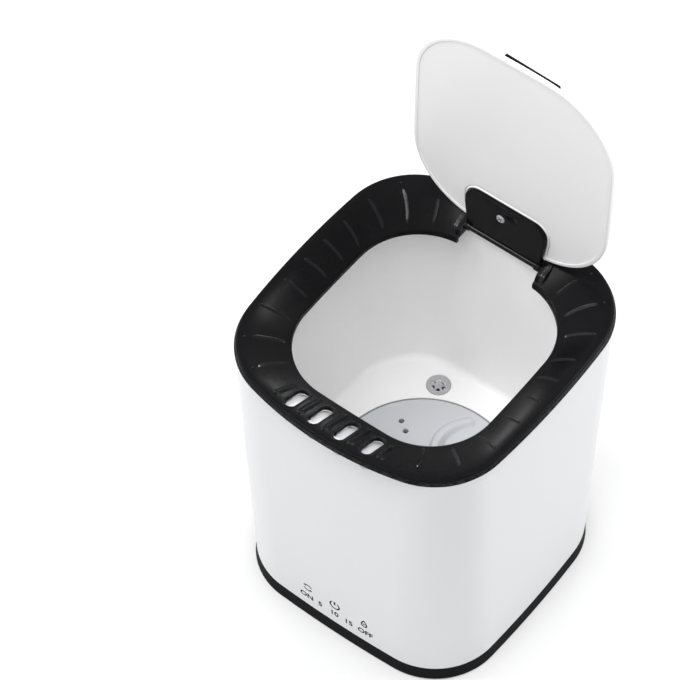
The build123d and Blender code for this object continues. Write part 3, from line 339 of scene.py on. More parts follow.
class Graph:
    """A node tree with short ways to add nodes, link them and set their inputs."""

    def __init__(self, tree: bpy.types.NodeTree) -> None:
        """Keeps the tree that nodes are added to."""
        self.tree = tree

    def add(self, kind: str, inputs: dict | None = None, **settings: object) -> bpy.types.Node:
        """Adds a node.

        Args:
            kind: the node's type, without its first word.
            inputs: sockets to link, or values to set, by input name or number.
            settings: the node's own settings.

        Returns:
            The new node.
        """
        node = self.tree.nodes.new("ShaderNode" + kind)
        for name, value in settings.items():
            setattr(node, name, value)
        for name, value in (inputs or {}).items():
            if isinstance(value, bpy.types.NodeSocket):
                self.tree.links.new(value, node.inputs[name])
            else:
                node.inputs[name].default_value = value
        return node

    def maths(self, operation: str, a: object, b: object = 0.0, clamp: bool = False
              ) -> bpy.types.NodeSocket:
        """A Math node's result for two inputs."""
        return self.add("Math", {0: a, 1: b}, operation=operation, use_clamp=clamp).outputs[0]

    def mix(self, share: object, a: object, b: object) -> bpy.types.NodeSocket:
        """The colour a share of the way from one colour to another."""
        return self.add("Mix", {0: share, 6: a, 7: b}, data_type="RGBA").outputs[2]

    def put_out(self, end: bpy.types.Node, *results: bpy.types.NodeSocket) -> bpy.types.NodeTree:
        """Links results to an output node in order, and hands back the tree."""
        for result, socket in zip(results, end.inputs):
            self.tree.links.new(result, socket)
        return self.tree


def new_group(name: str, inputs: dict[str, float | None], outputs: Sequence[str]
              ) -> tuple[Graph, bpy.types.Node, bpy.types.Node]:
    """Starts a shader node group.

    Args:
        name: the group's name.
        inputs: its inputs with their usual values, None for a vector.
        outputs: its outputs, all of them plain values.

    Returns:
        The graph to add to, the input node and the output node.
    """
    tree = bpy.data.node_groups.new(name, "ShaderNodeTree")
    for label, usual in inputs.items():
        kind = "NodeSocketVector" if usual is None else "NodeSocketFloat"
        socket = tree.interface.new_socket(label, in_out="INPUT", socket_type=kind)
        if usual is not None:
            socket.default_value = usual
    for label in outputs:
        tree.interface.new_socket(label, in_out="OUTPUT", socket_type="NodeSocketFloat")
    return Graph(tree), tree.nodes.new("NodeGroupInput"), tree.nodes.new("NodeGroupOutput")


class Effects:
    """The node groups that the finishes share, each built when first asked for."""

    _made: dict[str, bpy.types.NodeTree] = {}

    @classmethod
    def group(cls, name: str) -> bpy.types.NodeTree:
        """The group of a name: grain, edge_wear_and_highlight, dust, scratches, crevice or brushing."""
        if name not in cls._made:
            cls._made[name] = getattr(cls, name)()
        return cls._made[name]

    @staticmethod
    def grain() -> bpy.types.NodeTree:
        """Moulded skin: fine noise as height, and slow noise as a change of tone."""
        g, start, end = new_group("moulded_grain", {"Vector": None, "Scale": 1500.0},
                                  ("Height", "Tone"))
        fine = g.add("TexNoise", {"Vector": start.outputs[0], "Scale": start.outputs[1],
                                  "Detail": 3.0, "Roughness": 0.6})
        wide = g.maths("MULTIPLY", start.outputs[1], 0.012)
        slow = g.add("TexNoise", {"Vector": start.outputs[0], "Scale": wide, "Detail": 4.0})
        return g.put_out(end, fine.outputs[0], slow.outputs[0])

    @staticmethod
    def edge_wear_and_highlight() -> bpy.types.NodeTree:
        """Rubbed edges, and on the black deck a painted edge highlight: how far the rounded normal
        leans from the true one, broken up.
        """
        g, start, end = new_group("edge_wear_and_highlight", {"Vector": None, "Radius": 0.001,
                                                "Break up": 220.0}, ("Mask",))
        rounded = g.add("Bevel", {"Radius": start.outputs[1]}, samples=4)
        plain = g.add("NewGeometry")
        lean = g.add("VectorMath", {0: rounded.outputs[0], 1: plain.outputs["Normal"]},
                     operation="DOT_PRODUCT")
        edge = g.maths("MULTIPLY", g.maths("SUBTRACT", 1.0, lean.outputs["Value"]), 5.0, True)
        noise = g.add("TexNoise", {"Vector": start.outputs[0], "Scale": start.outputs[2],
                                   "Detail": 5.0})
        patches = g.add("MapRange", {0: noise.outputs[0], 1: 0.4, 2: 0.62})
        return g.put_out(end, g.maths("MULTIPLY", edge, patches.outputs[0]))

    @staticmethod
    def dust() -> bpy.types.NodeTree:
        """Dust: more where a face looks up, in soft drifts with fine specks."""
        g, start, end = new_group("settled_dust", {"Vector": None, "Amount": 0.1}, ("Mask",))
        plain = g.add("NewGeometry")
        upright = g.add("SeparateXYZ", {0: plain.outputs["Normal"]}).outputs[2]
        facing = g.add("MapRange", {0: upright, 1: 0.2, 2: 1.0})
        drift = g.add("TexNoise", {"Vector": start.outputs[0], "Scale": 38.0, "Detail": 6.0})
        specks = g.add("TexNoise", {"Vector": start.outputs[0], "Scale": 2600.0, "Detail": 2.0})
        both = g.maths("MULTIPLY", g.add("MapRange", {0: drift.outputs[0], 1: 0.42, 2: 0.7}
                                         ).outputs[0], specks.outputs[0])
        amount = g.maths("MULTIPLY", both, start.outputs[1])
        return g.put_out(end, g.maths("MULTIPLY", amount, facing.outputs[0], True))

    @staticmethod
    def scratches() -> bpy.types.NodeTree:
        """Hair scratches: the thin crests of two long-drawn noises laid crosswise."""
        g, start, end = new_group("hair_scratches", {"Vector": None, "Scale": 260.0,
                                                     "Amount": 0.3}, ("Mask",))
        crests = []
        for turn, stretch in ((0.5, 22.0), (-1.1, 16.0)):
            laid = g.add("Mapping", {"Vector": start.outputs[0], "Rotation": (0.2, 0.3, turn),
                                     "Scale": (1.0, stretch, stretch / 2)})
            noise = g.add("TexNoise", {"Vector": laid.outputs[0], "Scale": start.outputs[1],
                                       "Detail": 1.0})
            crests.append(g.add("MapRange", {0: noise.outputs[0], 1: 0.68, 2: 0.74}).outputs[0])
        both = g.maths("MAXIMUM", crests[0], crests[1])
        return g.put_out(end, g.maths("MULTIPLY", both, start.outputs[2], True))

    @staticmethod
    def crevice() -> bpy.types.NodeTree:
        """Painted shade: how closed in a place is by the surfaces a short distance round it, as a
        mask that darkens the colour in crevices.
        """
        g, start, end = new_group("crevice_painted_shade", {"Distance": 0.0012}, ("Mask",))
        open_share = g.add("AmbientOcclusion", {"Distance": start.outputs[0]}, samples=8)
        mask = g.add("MapRange", {0: open_share.outputs["AO"], 1: 0.95, 2: 0.6})
        return g.put_out(end, mask.outputs[0])

    @staticmethod
    def brushing() -> bpy.types.NodeTree:
        """Brushed metal: noise drawn out forty times along X, as height and as tone."""
        g, start, end = new_group("brushed_lines", {"Vector": None, "Scale": 90.0},
                                  ("Height", "Tone"))
        laid = g.add("Mapping", {"Vector": start.outputs[0], "Scale": (1.0, 40.0, 40.0)})
        fine = g.add("TexNoise", {"Vector": laid.outputs[0], "Scale": start.outputs[1],
                                  "Detail": 4.0})
        return g.put_out(end, fine.outputs[0], fine.outputs[0])


class Skin(Enum):
    """The kinds of surface that a finish can have."""

    MOULDED = "grain"
    BRUSHED = "brushing"


@dataclass(frozen=True)
class Finish:
    """A material made of one base colour and the shared effects."""

    name: str
    colour: tuple[float, float, float]
    roughness: float
    skin: Skin = Skin.MOULDED
    skin_scale: float = 1500.0
    skin_depth: float = 0.00001
    tone: float = 0.04
    # edge lightening: real wear on most finishes, a painted highlight on the black deck
    wear_and_highlight: float = 0.1
    wear_and_highlight_colour: tuple[float, float, float] = (0.5, 0.5, 0.5)
    wear_and_highlight_radius: float = 0.0008
    dust: float = 0.05
    scratches: float = 0.12
    metallic: float = 0.0
    specular: float = 0.5
    coat: float = 0.0
    # strength of the painted shade laid into crevices
    crevice_shade: float = 0.0
    polished: bool = False

    def material(self) -> bpy.types.Material:
        """The material of this finish, built the first time it is asked for.

        Returns:
            A material whose colour goes from its slow tone to its worn edges (on the black
            deck a painted edge highlight), dust and painted shade in crevices, whose
            roughness follows the tone, the scratches, the dust and, where it is polished,
            the mesh's own polish, and whose bump is the skin's height.
        """
        title = f"{self.name}_finish"
        if title in bpy.data.materials:
            return bpy.data.materials[title]
        material = bpy.data.materials.new(title)
        material.use_nodes = True
        material.diffuse_color = (*self.colour, 1.0)
        g = Graph(material.node_tree)
        shader = material.node_tree.nodes["Principled BSDF"]
        place = g.add("TexCoord").outputs["Object"]

        def effect(name: str, **values: float) -> bpy.types.Node:
            """A shared effect with its own values."""
            node = g.add("Group", node_tree=Effects.group(name))
            if "Vector" in node.inputs:
                g.tree.links.new(place, node.inputs["Vector"])
            for label, value in values.items():
                node.inputs[label.replace("_", " ")].default_value = value
            return node

        skin = effect(self.skin.value, Scale=self.skin_scale)
        wear_and_highlight = effect("edge_wear_and_highlight", Radius=self.wear_and_highlight_radius)
        dust = effect("dust", Amount=self.dust)
        hairs = effect("scratches", Amount=self.scratches)
        dark = tuple(c * (1 - self.tone) for c in self.colour)
        light = tuple(min(1.0, c * (1 + self.tone)) for c in self.colour)
        colour = g.mix(skin.outputs["Tone"], (*dark, 1.0), (*light, 1.0))
        # Worn edges; on the black deck this lighter edge colour is a painted highlight along the
        # lip and the slot edges.
        colour = g.mix(g.maths("MULTIPLY", wear_and_highlight.outputs[0], self.wear_and_highlight), colour,
                       (*self.wear_and_highlight_colour, 1.0))
        colour = g.mix(dust.outputs[0], colour, DUST_COLOUR)
        # Painted shade: ambient occlusion darkens the colour in crevices and recesses, such as the
        # screw head's cross.
        if self.crevice_shade:
            crevice_shade = effect("crevice")
            colour = g.mix(g.maths("MULTIPLY", crevice_shade.outputs[0], self.crevice_shade), colour,
                           CREVICE_SHADE_COLOUR)
        rough = g.maths("MULTIPLY_ADD", skin.outputs["Tone"], 0.12)
        rough.node.inputs[2].default_value = self.roughness - 0.06
        rough = g.maths("ADD", rough, g.maths("MULTIPLY", hairs.outputs[0], 0.18))
        rough = g.maths("ADD", rough, g.maths("MULTIPLY", dust.outputs[0], 0.3), True)
        bump = g.add("Bump", {"Height": skin.outputs["Height"], "Strength": 1.0,
                              "Distance": self.skin_depth})
        shader.inputs["Specular IOR Level"].default_value = self.specular
        if self.polished:
            rubbed = g.add("Attribute", attribute_name="polish").outputs["Fac"]
            rough = g.maths("MULTIPLY", rough, g.maths("SUBTRACT", 1.0, g.maths(
                "MULTIPLY", rubbed, 0.5)))
            shine = g.maths("MULTIPLY", g.maths("ADD", 0.667, rubbed), 1.5 * self.specular)
            g.tree.links.new(shine, shader.inputs["Specular IOR Level"])
        for label, socket in (("Base Color", colour), ("Roughness", rough),
                              ("Normal", bump.outputs[0])):
            g.tree.links.new(socket, shader.inputs[label])
        shader.inputs["Metallic"].default_value = self.metallic
        shader.inputs["Coat Weight"].default_value = self.coat
        shader.inputs["Coat Roughness"].default_value = 0.12
        return material


FINISHES: dict[str, Finish] = {
    "base_black": Finish("base_black", (0.0125, 0.0125, 0.0135), 0.5, skin_depth=0.00002,
                         wear_and_highlight=0.04, wear_and_highlight_colour=(0.05, 0.05, 0.05), specular=0.015,
                         dust=0.006),
    "housing_white": Finish("housing_white", (0.83, 0.835, 0.85), 0.34, skin_depth=0.000004,
                            tone=0.008, wear_and_highlight=0.0, dust=0.02, scratches=0.05, coat=0.15),
    # deck_black: its light edge colour paints highlight lines along the lip and slot edges, not
    # wear.
    "deck_black": Finish("deck_black", (0.0038, 0.0038, 0.0044), 0.28, skin_depth=0.000004,
                         wear_and_highlight=0.7, wear_and_highlight_colour=(0.2, 0.2, 0.21), wear_and_highlight_radius=0.0006,
                         dust=0.005, scratches=0.06, specular=0.068, polished=True),
    "tub_white": Finish("tub_white", (0.93, 0.925, 0.925), 0.32, skin_depth=0.000004,
                        tone=0.006, wear_and_highlight=0.0, dust=0.0, scratches=0.08),
    "pulsator_grey": Finish("pulsator_grey", (0.56, 0.575, 0.6), 0.3, tone=0.015,
                            wear_and_highlight=0.08, dust=0.0),
    "lid_white": Finish("lid_white", (0.87, 0.87, 0.875), 0.3, skin_depth=0.000004,
                        tone=0.008, wear_and_highlight=0.0, dust=0.02, scratches=0.06, coat=0.15),
    "liner_white": Finish("liner_white", (0.872, 0.868, 0.87), 0.42, skin_depth=0.000005,
                          tone=0.008, wear_and_highlight=0.0, dust=0.0, scratches=0.05),
    "hinge_black": Finish("hinge_black", (0.0036, 0.0036, 0.0042), 0.17, skin_depth=0.000003,
                          wear_and_highlight=0.03, wear_and_highlight_colour=(0.05, 0.05, 0.05), dust=0.003,
                          scratches=0.06, specular=0.08, polished=True),
    "rubber": Finish("rubber", (0.028, 0.028, 0.028), 0.85, skin_depth=0.00003, dust=0.15,
                     specular=0.25),
    # steel: its crevice value paints shade into recesses such as the cross of the screw head.
    "steel": Finish("steel", (0.62, 0.62, 0.64), 0.3, skin=Skin.BRUSHED, skin_scale=90.0,
                    skin_depth=0.000006, metallic=1.0, wear_and_highlight=0.2,
                    wear_and_highlight_colour=(0.85, 0.85, 0.86), crevice_shade=0.9),
    "inner_plastic": Finish("inner_plastic", (0.1, 0.1, 0.11), 0.55, skin_depth=0.00002),
    "gear_nylon": Finish("gear_nylon", (0.72, 0.7, 0.63), 0.48, tone=0.03),
    "hose_grey": Finish("hose_grey", (0.3, 0.31, 0.32), 0.7, skin_depth=0.00002),
    "board_green": Finish("board_green", (0.02, 0.18, 0.07), 0.32, tone=0.12, coat=0.5),
    "pad_copper": Finish("pad_copper", (0.75, 0.48, 0.2), 0.35, skin=Skin.BRUSHED,
                         skin_scale=90.0, metallic=1.0),
}


# Deck ring

@dataclass
class DeckRing:
    """The dished black ring with its ribs, slots, hinge notch and lugs."""

    outline: Outline = Outline(132.5, 144.4, 139.3, 70.5, 8.9, 26.0, 8.0)
    mouth: Outline = Outline.even(95.6, 98.7, 61.5, 2.7)
    skirt: Outline = Outline.even(125.71, 130.59, 51.58, 7.34)
    bottom: float = 302.5
    underside: float = 315.4
    crest: float = 321.9
    lip: float = 2.2
    lip_step: float = 1.2
    edge_round: float = 2.0
    rim: float = 4.5
    skin: float = 2.4
    skirt_wall: float = 1.8
    mouth_height: float = 304.7
    mouth_foot: float = 298.5
    dish_power: float = 1.3
    slot_places: tuple[tuple[float, float, float], ...] = (
        (-40.4, -120.6, 26.0), (-14.8, -122.2, 27.5), (11.4, -122.2, 27.5),
        (37.3, -120.9, 26.0))
    slot_width: float = 10.0
    slot_depth: float = 3.9
    pad_gap: float = 2.2
    flange_top: float = 300.5
    rib_width: float = 3.5
    rib_height: float = 1.15
    hinge_y: float = 110.0
    hinge_z: float = 312.5
    notch_half: float = 39.2
    notch_back: float = 116.5
    lug_width: float = 8.0
    lug_back: float = 116.2
    lug_high: tuple[float, float] = (114.9, 317.2)
    lug_low: tuple[float, float] = (103.3, 312.3)
    lug_front: float = 100.2
    lug_dip: float = 0.87
    bead: float = 0.45
    bead_lift: float = 0.3
    ridge_width: float = 7.5
    ridge_height: float = 1.9
    ridge_fade: float = 0.8
    head_radius: float = 1.3
    notch_wall_rise: float = 6.4
    tool_reach: float = 5.0

    def dish(self, share: np.ndarray) -> np.ndarray:
        """Height of the dish: mouth + rise (1 - (1 - share)^power)."""
        rise = self.crest - self.mouth_height
        left = np.clip(1 - np.asarray(share, float), 0, None)
        return self.mouth_height + rise * (1 - left ** self.dish_power)

    def height(self, plan: np.ndarray) -> np.ndarray:
        """Height of the dish over points seen from above.

        A set of nested outlines from the mouth to the rim each give their radius at
        the point's bearing, and the point's own radius is looked up between them.

        Args:
            plan: points, (n, 2).

        Returns:
            One height a point.
        """
        shares = np.linspace(-0.15, 1.05, 25)
        bearing, reach = np.arctan2(plan[:, 1], plan[:, 0]), np.hypot(plan[:, 0], plan[:, 1])
        rim = self.outline.grown(-self.rim)
        radii = np.stack([self.mouth.towards(rim, s).reach(bearing) for s in shares])
        above = np.clip((radii < reach).sum(axis=0), 1, len(shares) - 1)
        low = np.take_along_axis(radii, above[None] - 1, 0)[0]
        high = np.take_along_axis(radii, above[None], 0)[0]
        part = (reach - low) / (high - low)
        return self.dish(shares[above - 1] + part * (shares[above] - shares[above - 1]))

    def shell(self) -> Surface:
        """The ring's skin: skirt, lip, rounded crest, dish, mouth and underside."""
        rim = self.outline.grown(-self.rim)
        plan, skirt_top = Outline.points, self.underside - 0.4
        rings = [lifted(plan(self.skirt), self.bottom), lifted(plan(self.skirt), skirt_top)]
        section = [(-0.5, self.underside), (0.0, self.underside + 0.5),
                   (0.0, self.underside + self.lip - 0.7),
                   (-0.25, self.underside + self.lip - 0.2),
                   (-self.lip_step + 0.25, self.underside + self.lip),
                   (-self.lip_step, self.underside + self.lip + 0.3)]
        out, up = quarter(self.edge_round, 8)
        section += [(-self.lip_step - c, self.crest - self.edge_round + s)
                    for s, c in zip(out, up)]
        rings += [lifted(plan(self.outline.grown(by)), z) for by, z in section]
        shares = np.concatenate([np.linspace(1.0, 0.12, 26), np.linspace(0.08, 0.02, 3)])
        rings += [lifted(plan(self.mouth.towards(rim, s)), float(self.dish(s))) for s in shares]
        lower = [(-0.35, self.mouth_height - 0.35), (-0.6, self.mouth_height - 1.1),
                 (-0.6, self.mouth_foot + 0.5), (0.0, self.mouth_foot),
                 (self.skin - 0.6, self.mouth_foot), (self.skin, self.mouth_foot + 0.6),
                 (self.skin, self.mouth_height - self.skin)]
        rings += [lifted(plan(self.mouth.grown(by)), z) for by, z in lower]
        inside = self.skirt.grown(-self.skirt_wall)
        for share in np.linspace(0.05, 1.0, 12):
            under = plan(self.mouth.grown(self.skin).towards(inside, share))
            rings.append(lifted(under, self.height(under) - self.skin))
        rings.append(lifted(plan(inside), self.bottom))
        return tyre(np.stack(rings))

    def lip_bead(self) -> Surface:
        """A fine bead along the lip: a ring of small circles carried round the outline."""
        turn = FULL_TURN * np.arange(10) / 10
        middle = self.underside + self.lip + self.bead_lift
        rings = [lifted(self.outline.grown(-self.lip_step + self.bead * c).points(),
                        middle + self.bead * s) for c, s in zip(np.cos(turn), np.sin(turn))]
        return tyre(np.stack(rings))

    def slot_tool(self) -> Surface:
        """Four upright prisms that open the slots."""
        prisms = []
        for x, y, length in self.slot_places:
            plan = stadium(x, y, length, self.slot_width)
            prisms.append(capped(np.stack([lifted(plan, self.bottom - self.tool_reach),
                                           lifted(plan, self.crest + self.tool_reach)])))
        return joined(prisms)

    def notch_tool(self) -> Surface:
        """The block that opens the hinge notch, from the mouth to the notch's back."""
        x, back = self.notch_half, self.notch_back
        plan = np.array([(x, 60.0), (x, back), (-x, back), (-x, 60.0)])
        return capped(np.stack([lifted(plan, self.mouth_foot - self.tool_reach),
                                lifted(plan, self.crest + self.tool_reach)]))

    def ridge(self, start: Sequence[float], stop: Sequence[float], width: float,
              height: float, bend: float = 0.0, fade: float = 0.0) -> Surface:
        """A ridge that lies on the dish, with rounded ends.

        At a share t of its length the cross-section has the half width w e / 2 and the
        height h e, with e = (1 - |2t - 1|^8)^(1/2), and its middle line bends sideways
        by 4 b t (1 - t). Across, it is a quarter of an ellipse up to a crest that lies
        off the middle, and from there a plain slope down to the front. With a fade f
        the height is also multiplied by 1 - f (1 - t), so that it dies away towards the
        mouth, and the cross-section is a bell, (1 + cos(2 pi u / w)) / 2 at a distance
        u sideways.

        Args:
            start: plan point of the inner end.
            stop: plan point of the outer end.
            width: full width.
            height: height over the dish.
            bend: sideways bend at mid length.
            fade: how much of the height is lost at the inner end.

        Returns:
            The closed ridge.
        """
        a, b = np.array(start, float), np.array(stop, float)
        t = 0.5 - 0.5 * np.cos(np.linspace(0, math.pi, 34))
        turn = FULL_TURN * np.arange(20) / 20
        along = (b - a) / np.linalg.norm(b - a)
        across = np.array([along[1], -along[0]])
        line = a + t[:, None] * (b - a) + (4 * bend * t * (1 - t))[:, None] * across
        end = np.sqrt(np.clip(1 - np.abs(2 * t - 1) ** 8, 1e-6, None))
        offset = width / 2 * end[:, None] * np.cos(turn)
        plan = line[:, None] + offset[..., None] * across
        rise = self.height(plan.reshape(-1, 2)).reshape(offset.shape)
        tall = height * end * (1 - fade * (1 - t))
        if fade:
            bell = (1 + np.cos(math.pi * np.cos(turn))) / 2
            rise = rise - 0.03 + np.where(np.sin(turn) > 0, tall[:, None] * bell,
                                          0.4 * np.sin(turn))
        else:
            q = np.cos(turn) * (1 if across[1] < 0 else -1)
            crest = math.cos(math.radians(126))
            slope = (1 - q) / (1 - crest)
            round_side = np.sqrt(np.clip(1 - ((crest - q) / (1 + crest)) ** 2, 0, None))
            section = np.where(q > crest, slope, round_side)
            rise = rise - 0.15 + np.where(np.sin(turn) > 0, tall[:, None] * section,
                                          0.4 * np.sin(turn))
        return capped(np.concatenate([plan, rise[..., None]], axis=-1))

    def knob(self, place: Sequence[float], radius: float) -> Surface:
        """A pin head: half an ellipsoid on the dish."""
        lat = np.linspace(-math.pi / 2, math.pi / 2, 9)[1:-1]
        rings = revolved([(radius * math.cos(a), 0.75 * radius * math.sin(a)) for a in lat], 16)
        top = float(self.height(np.array([place], float))[0])
        return capped(rings + np.array([*place, top]))

    def ribs(self) -> Surface:
        """The ribs of the sides and corners, and the pin heads."""
        right = [((67, -92), (79.5, -117), -0.6), ((84.6, -78.0), (106.0, -95.6), -0.75),
                 ((97.0, -56.9), (122.0, -66.9), -0.9), ((100.2, -29.6), (121.6, -32.6), -0.3),
                 ((100.1, -2.8), (121.5, -5.6), -0.8), ((99.6, 19.4), (120.9, 19.9), -0.9),
                 ((99.0, 39.8), (120.1, 45.9), -1.5), ((93.6, 67.0), (117.9, 77.3), -1.35),
                 ((81.1, 83.9), (101.5, 104.6), -1.7), ((63.7, 97.2), (72.0, 115.4), -0.55)]
        left = [((-70.4, -89.5), (-84.6, -116.8), 0.5), ((-86.6, -76.1), (-106.4, -94.4), 0.9)]
        left += [((-a[0], a[1]), (-b[0], b[1]), -bend) for a, b, bend in right[2:]]
        made = [self.ridge(a, b, self.rib_width, self.rib_height, bend)
                for a, b, bend in right + left]
        heads = [(105.2, 107.2), (79.4, 125.4), (-105.2, 107.2), (-79.4, 125.4),
                 (-86.0, -120.6), (-110.7, -99.7)]
        made += [self.knob(place, self.head_radius) for place in heads]
        return joined(made)

    def ridges(self) -> Surface:
        """The broad ridges on both sides of the slots."""
        front = [((-51.5, -106), (-55.4, -130.2)), ((-27.0, -104), (-27.8, -134.6)),
                 ((-1.8, -104), (-1.8, -135.6)), ((22.6, -104), (23.4, -134.2)),
                 ((47.4, -107), (51.2, -130.4))]
        return joined([self.ridge(a, b, self.ridge_width, self.ridge_height,
                                  fade=self.ridge_fade) for a, b in front])

    def collars(self) -> Surface:
        """A raised, rounded lip round each slot with the slot's wall below it.

        Each ring of a collar is the slot's outline grown by an offset, and its
        height is the dish under the slot's own edge plus a rise.
        """
        section = [(1.5, -self.slot_depth), (1.5, -1.6), (2.5, -0.8), (2.3, 0.1), (1.9, 0.6),
                   (1.2, 0.95), (0.5, 0.85), (0.1, 0.4), (0.0, -0.3), (0.0, -self.slot_depth)]
        made = []
        for x, y, length in self.slot_places:
            base = self.height(stadium(x, y, length, self.slot_width))
            rings = [lifted(stadium(x, y, length + 2 * by, self.slot_width + 2 * by), base + rise)
                     for by, rise in section]
            made.append(tyre(np.stack(rings)))
        return joined(made)

    def pads(self) -> Surface:
        """Light grey blocks on the tub's flange, just under the slots; their grey, darker than the
        white flange, is painted shade for the flange seen in the slots' shadow.

        The top of a block follows the dish, lowered by the depth of the slot's wall.
        """
        made = []
        for x, y, length in self.slot_places:
            rings = [lifted(stadium(x, y, length + 2.0, self.slot_width + 2.0), self.flange_top)]
            for by in (1.0, 0.7, -1.5, -3.5):
                plan = stadium(x, y, length + 2 * by, self.slot_width + 2 * by)
                drop = self.slot_depth + self.pad_gap + (0.3 if by == 1.0 else 0.0)
                rings.append(lifted(plan, self.height(plan) - drop))
            made.append(capped(np.stack(rings)))
        return joined(made)

    def lug(self, side: int) -> Surface:
        """A hinge lug: a block whose flat top slopes to the mouth, grooved across.

        Its outline is drawn as (y, z) places from the back over the top to the front,
        and carried along X. Each step along X pulls the outline in by a share towards
        its middle, which rounds the ends and sinks the groove.
        """
        (y1, z1), (y0, z0) = self.lug_high, self.lug_low
        outline = np.array([(self.lug_back, z1 - 1.6), (self.lug_back - 0.3, z1 - 0.6),
                            (y1, z1), (y1 - 0.6, z1 - 0.25), *np.linspace(
                                (y1 - 2, z1 - 0.84), (y0 + 1.0, z0 + 0.42), 6),
                            (y0, z0 - 0.05), (y0 - 0.6, z0 - 0.6), (y0 - 1.1, z0 - 1.6),
                            (self.lug_front, z0 - 4.6), (self.lug_front, self.bottom),
                            (self.lug_back, self.bottom)])
        middle = np.array([self.hinge_y - 1.0, self.hinge_z - 4.0])
        near, far = self.notch_half, self.notch_half + self.lug_width
        dip = self.lug_dip
        steps = [(near, 0.9), (near + 0.15, 0.97), (near + 0.5, 1.0), (near + 4.9, 1.0),
                 (near + 5.1, dip), (near + 6.0, dip), (near + 6.2, 1.0), (far - 0.5, 1.0),
                 (far - 0.15, 0.96), (far, 0.88)]
        if side < 0:
            steps = [(-x, k) for x, k in reversed(steps)]
        rings = []
        for x, k in steps:
            shrunk = middle + k * (outline - middle)
            shrunk[-2:, 1] = self.bottom
            rings.append(np.concatenate([np.full((len(shrunk), 1), x), shrunk], axis=1))
        return capped(np.stack(rings))

    def notch_wall(self) -> Surface:
        """The wall behind the hinge pin, from lug to lug."""
        low, high = self.bottom, self.mouth_height + self.notch_wall_rise
        y0, y1, x = self.notch_back, self.notch_back + self.skin, self.notch_half
        plan = np.array([(x, y0), (x, y1), (-x, y1), (-x, y0)])
        return capped(np.stack([lifted(plan, low), lifted(plan, high)]))

    def build(self) -> None:
        """Makes the ring and its details, and dresses the nodes that go with them."""
        ring = new_piece("deck_ring_shell", self.shell(), "deck_black", Body.FIXED,
                         ("deck_ring",), crease=40.0)
        for tool in (self.slot_tool(), self.notch_tool()):
            cut(ring, tool, 40.0)
        for name, surface, polish in (
                ("deck_ribs", self.ribs(), 1.0), ("lip_bead", self.lip_bead(), 1.0),
                ("slot_ridges", self.ridges(), 0.35), ("slot_collars", self.collars(), 0.5)):
            new_piece(name, surface, "deck_black", Body.FIXED, crease=60.0, polish=polish)
        # The pads take a grey finish, darker than the white tub, as painted shade seen through the
        # slots.
        new_piece("flange_pads", self.pads(), "pulsator_grey", Body.FIXED, crease=40.0)
        new_piece("hinge_lugs", joined([self.lug(1), self.lug(-1), self.notch_wall()]),
                  "deck_black", Body.FIXED, polish=1.0)
        dress({"deck_gasket": "rubber", "deck_screws": "steel"})


# Tub and pulsator

